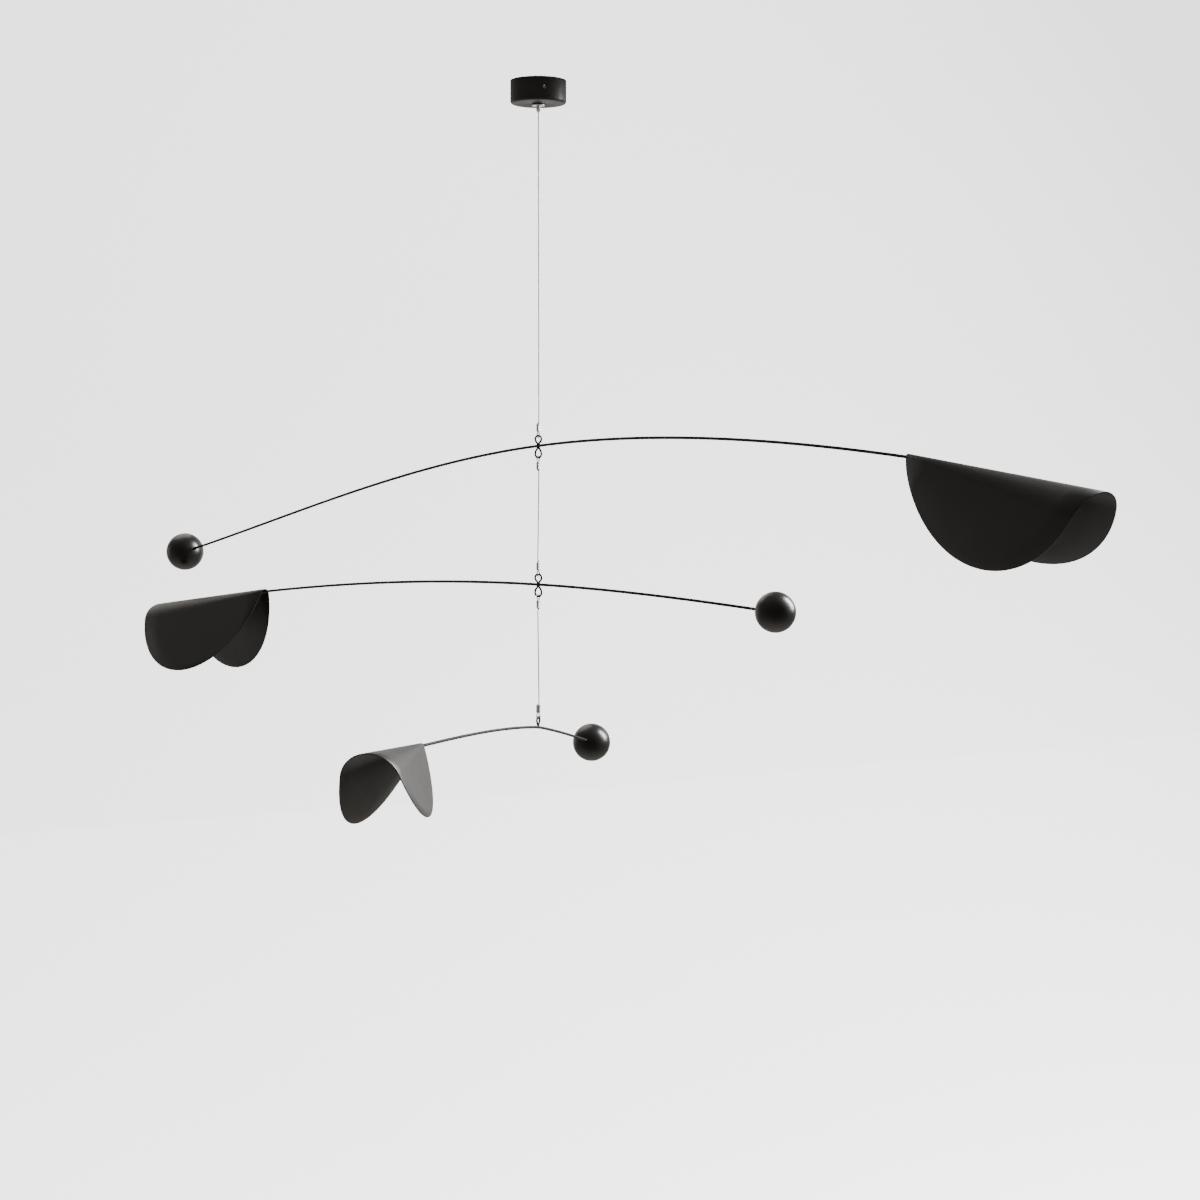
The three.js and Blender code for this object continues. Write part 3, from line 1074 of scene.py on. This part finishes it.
@dataclass(frozen=True)
class Wing:
    """An elliptical plate folded over a cone.

    Attributes:
        reach: Distance of the fold's near end from the cable.
        half_length: Half length of the plate along the fold.
        pitch: Slope of the fold in degrees.
        roll: Turn about the fold in degrees.
        cone_angle: Half angle of the fold's cone in degrees.
        tip_distance: Distance from the cone's tip to the plate.
        lift: Extra height of the fold over the rod.
        left: The flap to the left, seen along the arm.
        right: The flap to the right.
        flap_steps: Strips in each flap.
        fold_steps: Strips in each half of the fold.
        edge: Width of the rounding along the sheet's edge.
    """

    reach: float
    half_length: float
    pitch: float
    roll: float
    cone_angle: float
    tip_distance: float
    lift: float
    left: Flap
    right: Flap
    flap_steps: int = 60
    fold_steps: int = 30
    edge: float = 0.22 * MM

    def ruling(self, flap: Flap, share: float) -> tuple[Vector, Vector, float]:
        """A straight line of the folded sheet.

        Args:
            flap: The flap that it lies in.
            share: Its place from the crest, at 0, to the flap's far edge, at 1.

        Returns:
            The line's direction from the cone's tip, the sheet's normal there and the flat angle.
        """
        fold_share = self.fold_steps / (self.fold_steps + self.flap_steps)
        cone = math.radians(self.cone_angle)
        wrapped = math.sin(cone) * math.radians(flap.fold_angle)
        arc = math.atan2(1.0, flap.curl)
        base = self.half_length + self.tip_distance
        plate = self.half_length - self.edge
        outermost = math.atan2(flap.half_width - self.edge, math.sqrt(base**2 - plate**2))
        first = min(share / fold_share, 1.0) * wrapped
        line, normal = self.swing(FORWARD, UP, cone, first)
        if share <= fold_share:
            return line, normal, first
        beyond = math.sin(math.pi / 2 * (share - fold_share) / (1 - fold_share)) * (outermost - wrapped)
        line, normal = self.swing(line, normal, arc, beyond)
        return line, normal, wrapped + beyond

    @staticmethod
    def swing(line: Vector, normal: Vector, arc: float, angle: float) -> tuple[Vector, Vector]:
        """Carry a ruling round a cone.

        Args:
            line: The ruling.
            normal: The sheet's normal along it.
            arc: The cone's half angle.
            angle: Flat angle to go.

        Returns:
            The new ruling and normal.
        """
        axis = line * math.cos(arc) - normal * math.sin(arc)
        turn = Quaternion(axis, -angle / math.sin(arc))
        return turn @ line, turn @ normal

    def span(self, flap: Flap, angle: float) -> tuple[float, float]:
        """Where a ruling enters and leaves the flat plate.

        Args:
            flap: The flap.
            angle: The ruling's flat angle.

        Returns:
            Both distances from the cone's tip.
        """
        length, width = self.half_length - self.edge, flap.half_width - self.edge
        base = self.half_length + self.tip_distance
        squares = (math.cos(angle) / length) ** 2 + (math.sin(angle) / width) ** 2
        middle = base * math.cos(angle) / length**2 / squares
        rest = ((base / length) ** 2 - 1) / squares
        half = math.sqrt(max(middle**2 - rest, 0.0))
        return middle - half, middle + half

    def point(self, across: float, along: float) -> Vector:
        """A point of the folded sheet.

        Args:
            across: From -1 at the right edge over 0 at the crest to 1 at the left edge.
            along: From 0 at the end nearest the cable to 1 at the far end.

        Returns:
            The point, with the fold's near end at the origin.
        """
        flap = self.left if across >= 0 else self.right
        line, _, angle = self.ruling(flap, abs(across))
        near, far = self.span(flap, angle)
        place = line * (near + (far - near) * along)
        place.x -= self.tip_distance
        if across < 0:
            place.y = -place.y
        return place

    def build(self, name: str, start: Vector) -> bpy.types.Object:
        """Shape a flat grid into the folded plate, thicken it and round its edge.

        Args:
            name: The piece's name.
            start: Where the fold's near end is, in the arm's own plane.

        Returns:
            The wing.
        """
        set_down()
        strips = 2 * (self.flap_steps + self.fold_steps)
        bpy.ops.mesh.primitive_grid_add(x_subdivisions=strips, y_subdivisions=8, size=2.0)
        piece = bpy.context.object
        piece.name = name
        edit(piece)
        pitch = math.radians(self.pitch)
        place = Matrix.Rotation(-pitch, 3, "Y") @ Matrix.Rotation(math.radians(self.roll), 3, "X")
        mesh = bmesh.from_edit_mesh(piece.data)
        for vertex in mesh.verts:
            vertex.co = start + place @ self.point(vertex.co.x, (vertex.co.y + 1) / 2)
        bmesh.update_edit_mesh(piece.data)
        bpy.ops.mesh.remove_doubles(threshold=WELD)
        set_down()
        for label in ("face", "rim"):
            piece.data.materials.append(bpy.data.materials.new(label))
        modify(piece, "SOLIDIFY", thickness=SHEET, offset=0.0, use_even_offset=True, material_offset_rim=1)
        edit(piece)
        bpy.ops.mesh.normals_make_consistent(inside=False)
        pick_faces(piece, lambda face: face.material_index == 1)
        bpy.ops.mesh.inset(thickness=0.6 * self.edge, depth=0.7 * self.edge, use_even_offset=False)
        bpy.ops.mesh.inset(thickness=0.7 * self.edge, depth=0.3 * self.edge, use_even_offset=False)
        smooth(piece, 50.0)
        return piece


@dataclass(frozen=True)
class Ball:
    """A painted ball with a blind bore for its rod.

    Attributes:
        reach: Distance of its centre from the cable.
        radius: Its radius.
        insert: Depth of the rod in it.
        segments: Faces round it.
        rings: Faces from pole to pole.
        lip: Width of the bore's countersunk lip.
        sunk: Depth of that lip.
    """

    reach: float
    radius: float
    insert: float = 10.0 * MM
    segments: int = 96
    rings: int = 64
    lip: float = 0.25 * MM
    sunk: float = 0.2 * MM

    def build(self, name: str, centre: Vector, toward: Vector) -> bpy.types.Object:
        """Model the ball, its pole on the rod's line, and sink the bore at that pole.

        Args:
            name: The piece's name.
            centre: The ball's centre.
            toward: Direction from there along the rod to the cable.

        Returns:
            The ball.
        """
        set_down()
        bpy.ops.mesh.primitive_uv_sphere_add(
            segments=self.segments, ring_count=self.rings, radius=self.radius,
            location=centre, rotation=(0, math.atan2(toward.x, toward.z), 0),
        )
        piece = bpy.context.object
        piece.name = name
        settle(piece)
        edit(piece)
        cap = 2 * math.pi / self.rings
        pole = centre + toward * self.radius * math.cos(cap)
        mouth = ROD_RADIUS + GAP

        def capped(face: bmesh.types.BMFace) -> bool:
            """Whether a face lies in the cap round the pole."""
            return (face.calc_center_median() - centre).normalized().dot(toward) > math.cos(cap)

        pick_faces(piece, capped)
        bpy.ops.mesh.dissolve_faces()
        scale = (mouth + self.lip) / (self.radius * math.sin(cap))
        resize((scale, scale, scale), pole)
        draw_out(toward * -self.sunk)
        scale = mouth / (mouth + self.lip)
        resize((scale, scale, scale), pole - toward * self.sunk)
        draw_out(toward * -self.insert)
        smooth(piece, 40.0)
        return piece


@dataclass(frozen=True)
class Eye:
    """A loop of wire on a short neck, welded to the rod.

    Attributes:
        reach: Signed height of its outermost point over the rod's centre.
        half_width: Half width of the wire's centre line.
        neck: Half distance between the neck's two legs.
        neck_height: Length of those legs from the rod's centre.
        pinch: How far the loop narrows towards the neck.
    """

    reach: float
    half_width: float = 5.0 * MM
    neck: float = 1.2 * MM
    neck_height: float = 2.5 * MM
    pinch: float = 0.35

    def wire_height(self) -> float:
        """Signed height of the wire's centre at the loop's far end."""
        return math.copysign(abs(self.reach) - EYE_WIRE_RADIUS, self.reach)

    def outline(self) -> list[tuple[float, float]]:
        """Half width and height of the wire's centre line, from one foot round to the other."""

        def pinched(angle: float) -> float:
            """Unscaled half width at an angle round the loop."""
            return math.sin(angle) * abs(math.sin(angle / 2)) ** self.pinch

        widest = pinched(2 * math.acos(math.sqrt(1 / (2 + self.pinch))))
        climb = abs(self.wire_height()) - self.neck_height
        foot = 0.2 * ROD_RADIUS
        legs = [(self.neck, foot + (self.neck_height - foot) * step / 4) for step in range(5)]
        line = list(legs)
        for step in range(97):
            angle = 2 * math.pi * step / 96
            across = self.half_width * pinched(angle) / widest
            if abs(across) > self.neck or math.cos(angle) < 0:
                line.append((across, self.neck_height + climb * (1 - math.cos(angle)) / 2))
        line += [(-across, rise) for across, rise in reversed(legs)]
        for _ in range(6):
            eased = [
                ((a[0] + 2 * b[0] + c[0]) / 4, (a[1] + 2 * b[1] + c[1]) / 4)
                for a, b, c in zip(line, line[1:], line[2:])
            ]
            line = [line[0], *eased, line[-1]]
        return line

    def build(self, pivot: Vector) -> bpy.types.Object:
        """Bend the wire.

        Args:
            pivot: The rod's centre on the cable's line.

        Returns:
            The loop.
        """
        side = math.copysign(1.0, self.reach)
        points = tuple(pivot + Vector((across, 0, side * rise)) for across, rise in self.outline())
        return round_bar("eye", Route(points), EYE_WIRE_RADIUS, 20, 0.4 * MM)


@dataclass(frozen=True)
class CableLoop:
    """The loop at one end of a cable, where it goes round an eye and back through its sleeve.

    Attributes:
        eye: Height of the eye's wire.
        toward: 1 where the cable leaves upwards, -1 where it leaves downwards.
        azimuth: Azimuth of the arm in degrees.
        reach: Distance from the bend to the sleeve.
        sleeve_length: Length of the sleeve.
        tail: Length of the cut end that stands out of it.
        wall: The sleeve's wall.
        clearance: Room between sleeve and cable.
    """

    eye: float
    toward: int
    azimuth: float
    reach: float = 6.5 * MM
    sleeve_length: float = 8.0 * MM
    tail: float = 1.5 * MM
    wall: float = 0.4 * MM
    clearance: float = 0.2 * MM

    def mouth(self) -> float:
        """Height of the sleeve's end nearest the eye."""
        return self.eye - self.toward * LOOP_RADIUS + self.toward * self.reach

    def far(self) -> float:
        """Height of the sleeve's other end."""
        return self.mouth() + self.toward * self.sleeve_length

    def free(self) -> float:
        """Height just past the cut end, where the cable is free to twist."""
        return self.far() + self.toward * (self.tail + MM)

    def points(self) -> list[Vector]:
        """Points from the sleeve's far end, round the eye and back to the cut end."""
        across = Matrix.Rotation(math.radians(self.azimuth), 3, "Z") @ Vector((0, 1, 0))

        def at(offset: float, height: float) -> Vector:
            """A point in the loop's plane."""
            return across * offset + UP * height

        flare: list[tuple[float, float]] = []
        for step in range(13):
            share = step / 12
            eased = share * share * (3 - 2 * share)
            offset = STRAND_OFFSET + (LOOP_RADIUS - STRAND_OFFSET) * eased
            flare.append((offset, self.mouth() + (self.eye - self.mouth()) * share))
        arc = [
            at(
                LOOP_RADIUS * math.cos(math.pi * step / 24),
                self.eye - self.toward * LOOP_RADIUS * math.sin(math.pi * step / 24),
            )
            for step in range(1, 24)
        ]
        return [
            at(STRAND_OFFSET, self.far()),
            *(at(offset, height) for offset, height in flare),
            *arc,
            *(at(-offset, height) for offset, height in reversed(flare)),
            at(-STRAND_OFFSET, self.far() + self.toward * self.tail),
        ]

    def sleeve(self, name: str) -> bpy.types.Object:
        """The pressed sleeve: an oval tube drawn up in steps, with two press marks.

        Args:
            name: The piece's name.

        Returns:
            The sleeve.
        """
        outer = CABLE_RADIUS + self.clearance + self.wall
        low = min(self.mouth(), self.far())
        set_down()
        bpy.ops.mesh.primitive_circle_add(vertices=48, radius=outer, location=(0, 0, low))
        piece = bpy.context.object
        piece.name = name
        settle(piece)
        edit(piece)
        for side in (1, -1):
            pick_points(piece, lambda point, side=side: side * point.y > WELD)
            bpy.ops.transform.translate(value=(0, side * STRAND_OFFSET, 0))
        bpy.ops.mesh.select_all(action="SELECT")
        height, width = low, 1.0
        for share, pressed in (
            (0.12, 1.0), (0.2, 1.0), (0.27, 0.86), (0.38, 0.86), (0.45, 1.0),
            (0.55, 1.0), (0.62, 0.86), (0.73, 0.86), (0.8, 1.0), (0.88, 1.0), (1.0, 1.0),
        ):
            top = low + share * self.sleeve_length
            draw_out(Vector((0, 0, top - height)))
            resize((pressed / width, 1, 1), Vector((0, 0, top)))
            height, width = top, pressed
        modify(piece, "SOLIDIFY", thickness=self.wall, offset=-1.0)
        modify(
            piece, "BEVEL", width=0.1 * MM, segments=3, limit_method="ANGLE",
            angle_limit=math.radians(60), use_clamp_overlap=False,
        )
        settle(piece, self.azimuth)
        smooth(piece, 40.0)
        return piece


@dataclass
class Arm:
    """One tier: an arched rod with its eyes, a ball at one end and a folded wing at the other.

    Attributes:
        number: 1 for the upper tier, 3 for the lower one.
        body: The body that it rides on.
        azimuth: Direction from the cable to the wing, in degrees.
        pivot: Height of the rod on the cable's line.
        wing_side: Curve of the rod towards the wing.
        ball_side: Curve of the rod towards the ball.
        ball: The ball.
        wing: The wing.
        lower_eye: Whether an eye hangs below the rod.
        tuck: How far the rod goes in under the fold.
        upper: The eye above the rod.
        lower: The eye below it.
        bead_radius: Radius of the weld bead between rod and eyes.
        bead_shape: Its stretch along the rod, across it and upwards.
    """

    number: int
    body: Body
    azimuth: float
    pivot: float
    wing_side: RodSide
    ball_side: RodSide
    ball: Ball
    wing: Wing
    lower_eye: bool = True
    tuck: float = 14.0 * MM
    upper: Eye = field(default_factory=lambda: Eye(12.0 * MM))
    lower: Eye = field(default_factory=lambda: Eye(-13.8 * MM))
    bead_radius: float = 1.75 * MM
    bead_shape: tuple[float, float, float] = (1.7, 0.98, 1.05)

    def point(self, distance: float) -> Vector:
        """A point of the rod's centre line.

        Args:
            distance: Distance from the pivot, positive towards the wing.

        Returns:
            The point in the arm's own plane.
        """
        if distance < 0:
            rise = self.ball_side.height(distance, self.ball.reach)
        else:
            rise = self.wing_side.height(distance, self.wing.reach)
        return Vector((distance, 0.0, self.pivot + rise))

    def crest(self) -> Vector:
        """Direction of the wing's fold."""
        pitch = math.radians(self.wing.pitch)
        return Vector((math.cos(pitch), 0.0, math.sin(pitch)))

    def toward_cable(self) -> Vector:
        """Direction from the ball's centre along its rod."""
        return (self.point(self.ball.insert - self.ball.reach) - self.point(-self.ball.reach)).normalized()

    def rod_route(self) -> Route:
        """The rod's centre line, from inside the ball to under the fold."""
        centre = self.point(-self.ball.reach)
        end = centre + self.toward_cable() * (self.ball.radius - self.ball.insert)
        first = self.ball.radius - self.ball.reach
        count = round((self.wing.reach - first) / (4 * MM))
        along = [self.point(first + (self.wing.reach - first) * step / count) for step in range(count + 1)]
        return Route((end, *along, along[-1] + self.crest() * self.tuck))

    def rod(self) -> bpy.types.Object:
        """The rod, its welded eyes and the weld beads between them."""
        pivot = self.point(0.0)
        parts = [round_bar("rod", self.rod_route(), ROD_RADIUS, 28, 4 * MM), self.upper.build(pivot)]
        if self.lower_eye:
            parts.append(self.lower.build(pivot))
        set_down()
        bpy.ops.mesh.primitive_uv_sphere_add(
            segments=32, ring_count=20, radius=self.bead_radius, location=pivot
        )
        bead = bpy.context.object
        edit(bead)
        resize(self.bead_shape, pivot)
        set_down()
        settle(bead)
        piece = combine(f"rod_{self.number}", [*parts, bead])
        settle(piece, self.azimuth)
        smooth(piece, 40.0)
        return piece

    def build(self, finishes: Finishes) -> None:
        """Model the tier's rigid pieces and dress them.

        Args:
            finishes: The mobile's materials.
        """
        dress(self.rod(), finishes.rod, self.body, [f"arm_{self.number}"])
        centre = self.point(-self.ball.reach)
        ball = self.ball.build(f"painted_ball_{self.number}", centre, self.toward_cable())
        settle(ball, self.azimuth)
        dress(ball, finishes.ball, self.body, [f"ball_{self.number}"])
        start = self.point(self.wing.reach) + UP * (CREST_RISE + self.wing.lift)
        wing = self.wing.build(f"folded_wing_{self.number}", start)
        settle(wing, self.azimuth)
        dress(wing, finishes.sheet, self.body, [f"wing_{self.number}"])

    def loop(self, above: bool) -> CableLoop:
        """The cable's loop in one of the arm's eyes.

        Args:
            above: Whether it is the eye above the rod.

        Returns:
            The loop.
        """
        eye = self.upper if above else self.lower
        return CableLoop(self.pivot + eye.wire_height(), 1 if above else -1, self.azimuth)


@dataclass
class Cables:
    """The three steel cables and their sleeves.

    Attributes:
        arms: The arms from top to bottom.
        rope: How the cable is laid.
        tail: How far the top cable stands up out of its gland.
    """

    arms: Sequence[Arm]
    rope: StrandedRope = field(default_factory=StrandedRope)
    tail: float = 3.0 * MM

    def build(self, finishes: Finishes) -> None:
        """Model the cables and sleeves and dress them.

        Args:
            finishes: The mobile's materials.
        """
        first = self.arms[0].loop(True)
        start = UP * (SHANK_RISE + self.tail - CUP_HEIGHT)
        top = self.rope.along("cable_1", Route((start, *first.points())))
        smooth(top, 60.0)
        dress(top, finishes.cable, self.arms[0].body, ["wire_1"])
        sleeve = first.sleeve("sleeve_1_lower")
        dress(sleeve, finishes.sleeve, self.arms[0].body, ["crimp_1_lower"])
        for above, below in zip(self.arms, self.arms[1:]):
            self.link(above, below, finishes)

    def link(self, above: Arm, below: Arm, finishes: Finishes) -> None:
        """The cable between two arms, with its two sleeves.

        Args:
            above: The arm that it hangs from.
            below: The arm that hangs on it.
            finishes: The mobile's materials.
        """
        number = below.number
        upper, lower = above.loop(False), below.loop(True)
        cable = self.rope.along(f"cable_{number}", Route((*reversed(upper.points()), *lower.points())))
        smooth(cable, 60.0)
        bend = (upper.free(), lower.free())
        dress(cable, finishes.cable, (above.body, below.body), [f"wire_{number}"])
        for end, loop, body in (("upper", upper, above.body), ("lower", lower, below.body)):
            sleeve = loop.sleeve(f"sleeve_{number}_{end}")
            dress(sleeve, finishes.sleeve, body, [f"crimp_{number}_{end}"])


def make_arms() -> list[Arm]:
    """The three arms with their own sizes."""
    return [
        Arm(
            1, Body.UPPER, -48.0, -390.8 * MM,
            RodSide(0.0739, -0.1289, 0.0212), RodSide(0.0739, -0.1974, -0.091), Ball(706.5 * MM, 23.9 * MM),
            Wing(
                514.6 * MM, 109.2 * MM, -8.99, -3.1, 7.01, 19.2 * MM, 0.5 * MM,
                Flap(100.0 * MM, 62.0, -0.35), Flap(95.4 * MM, 91.9, 0.243),
            ),
        ),
        Arm(
            2, Body.MIDDLE, 135.0, -539.2 * MM,
            RodSide(0.0146, -0.072, 0.0106), RodSide(0.0146, -0.0461, -0.0098), Ball(333.4 * MM, 20.1 * MM),
            Wing(
                483.1 * MM, 106.5 * MM, -6.8, 9.1, 8.92, 34.2 * MM, 0.4 * MM,
                Flap(113.7 * MM, 73.8, 0.019), Flap(99.8 * MM, 75.4, -0.011),
            ),
        ),
        Arm(
            3, Body.LOWER, -106.0, -691.8 * MM,
            RodSide(0.1032, -0.0751, 0.0228), RodSide(0.1515, -0.0482, -0.0148), Ball(203.9 * MM, 21.65 * MM),
            Wing(
                358.1 * MM, 69.5 * MM, 2.39, 4.6, 10.98, 12.3 * MM, 0.1 * MM,
                Flap(73.1 * MM, 76.0, 0.089), Flap(79.7 * MM, 71.1, -0.263),
            ),
            lower_eye=False,
        ),
    ]


# The studio
@dataclass(frozen=True)
class Softbox:
    """A soft rectangular light.

    Attributes:
        name: Its name.
        place: Where it stands.
        aim: The point that it faces.
        size: Width and height.
        power: Its power.
        colour: Its colour.
    """

    name: str
    place: tuple[float, float, float]
    aim: tuple[float, float, float]
    size: tuple[float, float]
    power: float
    colour: tuple[float, float, float] = (1.0, 1.0, 1.0)

    def make(self) -> None:
        """Put the light up."""
        data = bpy.data.lights.new(self.name, "AREA")
        data.shape = "RECTANGLE"
        data.size, data.size_y = self.size
        data.energy = self.power
        data.color = self.colour
        light = bpy.data.objects.new(self.name, data)
        light.location = self.place
        light.rotation_euler = (Vector(self.aim) - Vector(self.place)).to_track_quat("-Z", "Y").to_euler()
        bpy.context.scene.collection.objects.link(light)


@dataclass(frozen=True)
class Studio:
    """Camera, pale sweep and lights.

    Attributes:
        eye: Where the camera is.
        lens: Its focal length in millimetres.
        shift: Its vertical shift.
        floor: Height of the floor.
        sweep_radius: Radius of the bend between floor and back.
        back: How far behind the mobile the back stands.
        width: Width of the sweep.
        white: Brightness of the sweep and the surround as the camera sees them.
        fill: Colour of the surround's light on the mobile.
        fill_shares: Strength of that light from straight below, at 0, to straight above, at 1.
        front_fill: Colour of the surround's light from straight ahead.
        card_radius: Radius of the card over the cup.
    """

    eye: tuple[float, float, float] = (0.0660, -2.461, -0.437)
    lens: float = 69.0
    shift: float = -0.0925
    floor: float = -1.6
    sweep_radius: float = 1.6
    back: float = 3.2
    width: float = 14.0
    white: float = 2.2
    fill: tuple[float, float, float] = (0.62, 0.575, 0.53)
    fill_shares: tuple[tuple[float, float], ...] = (
        (0.0, 1.5), (1.0, 0.8), (0.25, 0.75), (0.42, 0.5), (0.56, 0.42), (0.75, 0.48),
    )
    front_fill: tuple[float, float, float] = (0.16, 0.148, 0.136)
    card_radius: float = 0.3

    def build(self) -> None:
        """Set everything up."""
        self.make_camera()
        self.make_sweep()
        self.make_card()
        self.make_lights()

    def make_camera(self) -> None:
        """A level camera that looks along +Y."""
        data = bpy.data.cameras.new("camera")
        data.lens = self.lens
        data.sensor_width = 36.0
        data.shift_y = self.shift
        camera = bpy.data.objects.new("camera", data)
        camera.location = self.eye
        camera.rotation_euler = (math.pi / 2, 0, 0)
        bpy.context.scene.collection.objects.link(camera)
        bpy.context.scene.camera = camera

    def make_sweep(self) -> None:
        """A pale floor that bends up into a back, and is clear from its far side."""
        set_down()
        bpy.ops.mesh.primitive_plane_add(size=self.width, location=(0, 0, self.floor))
        sweep = bpy.context.object
        sweep.name = "studio_sweep"
        settle(sweep)
        edit(sweep)
        half = self.width / 2
        pick_edges(sweep, lambda a, b: min(a.y, b.y) > half - MM)
        bpy.ops.transform.translate(value=(0, self.back - self.sweep_radius - half, 0))
        steps = 24
        for step in range(1, steps + 1):
            before, after = (math.pi / 2 * place / steps for place in (step - 1, step))
            draw_out(
                Vector((
                    0,
                    self.sweep_radius * (math.sin(after) - math.sin(before)),
                    self.sweep_radius * (math.cos(before) - math.cos(after)),
                ))
            )
        draw_out(Vector((0, 0, 6.0)))
        set_down()
        take(sweep)
        bpy.ops.object.shade_smooth()
        material = bpy.data.materials.new("sweep_paper")
        material.use_nodes = True
        wiring = Wiring(material.node_tree)
        shader = material.node_tree.nodes["Principled BSDF"]
        fibre = wiring.noise(wiring.coordinates(), 60.0, 5.0)
        tint = wiring.blend(fibre, (0.9, 0.9, 0.9, 1), (0.92, 0.92, 0.92, 1))
        wiring.feed(shader.inputs["Base Color"], tint)
        shader.inputs["Roughness"].default_value = 0.9
        shader.inputs["Specular IOR Level"].default_value = 0.0
        wiring.feed(shader.inputs["Emission Color"], tint)
        shader.inputs["Emission Strength"].default_value = self.white
        behind = wiring.add("NewGeometry").outputs["Backfacing"]
        wiring.feed(shader.inputs["Alpha"], wiring.compute("SUBTRACT", 1.0, behind))
        sweep.data.materials.append(material)
        sweep.visible_glossy = False
        sweep.visible_diffuse = False
        sweep.visible_shadow = False

    def make_card(self) -> None:
        """A round pale card just over the cup, unseen itself, that keeps light from above off its side."""
        set_down()
        bpy.ops.mesh.primitive_circle_add(
            vertices=64, radius=self.card_radius, fill_type="NGON", location=(0, 0, MM)
        )
        card = bpy.context.object
        card.name = "overhead_card"
        settle(card)
        material = bpy.data.materials.new("card_paper")
        material.use_nodes = True
        shader = material.node_tree.nodes["Principled BSDF"]
        shader.inputs["Base Color"].default_value = (0.8, 0.8, 0.8, 1)
        shader.inputs["Roughness"].default_value = 0.9
        card.data.materials.append(material)
        card.visible_camera = False

    def make_lights(self) -> None:
        """A dim warm surround, a tall softbox to the right, and weak cards above on the left, to the left and
        behind.
        """
        world = bpy.data.worlds.new("surround")
        bpy.context.scene.world = world
        world.use_nodes = True
        wiring = Wiring(world.node_tree)
        surround = world.node_tree.nodes["Background"]
        heading = wiring.add("SeparateXYZ", {"Vector": wiring.add("TexCoord").outputs["Generated"]})
        ramp = wiring.add("ValToRGB", {"Fac": wiring.remap(heading.outputs["Z"], -1.0, 1.0)})
        stops = ramp.color_ramp.elements
        for index, (place, share) in enumerate(self.fill_shares):
            stop = stops[index] if index < 2 else stops.new(place)
            stop.position = place
            stop.color = (*(share * channel for channel in self.fill), 1.0)
        front = wiring.remap(heading.outputs["Y"], -0.25, -0.95)
        around = wiring.blend(front, ramp.outputs["Color"], (*self.front_fill, 1.0))
        seen = wiring.add("LightPath").outputs["Is Camera Ray"]
        paper = (self.white, self.white, self.white, 1.0)
        wiring.feed(surround.inputs["Color"], wiring.blend(seen, around, paper))
        ivory, warm = (1.0, 0.98, 0.95), (1.0, 0.94, 0.88)
        for light in (
            Softbox("key", (2.15, 0.6, 0.6), (0.1, 0.0, -0.6), (0.5, 1.7), 260.0),
            Softbox("above_left", (-0.85, 1.45, 1.25), (-0.1, 0.0, -0.5), (1.8, 1.6), 22.0, warm),
            Softbox("left_strip", (-2.2, 1.2, -0.5), (0.0, 0.0, -0.5), (0.4, 1.0), 1.6, ivory),
            Softbox("behind", (-0.2, 2.7, -0.3), (0.0, 0.0, -0.4), (4.2, 2.6), 34.0, ivory),
        ):
            light.make()


def main() -> None:
    """Build the studio and the mobile."""
    logging.basicConfig(level=logging.INFO, format="%(message)s")
    Studio().build()
    finishes = Finishes()
    arms = make_arms()
    Cables(arms).build(finishes)
    CeilingCup().build(finishes)
    for arm in arms:
        arm.build(finishes)
    set_down()


if __name__ == "__main__":
    main()
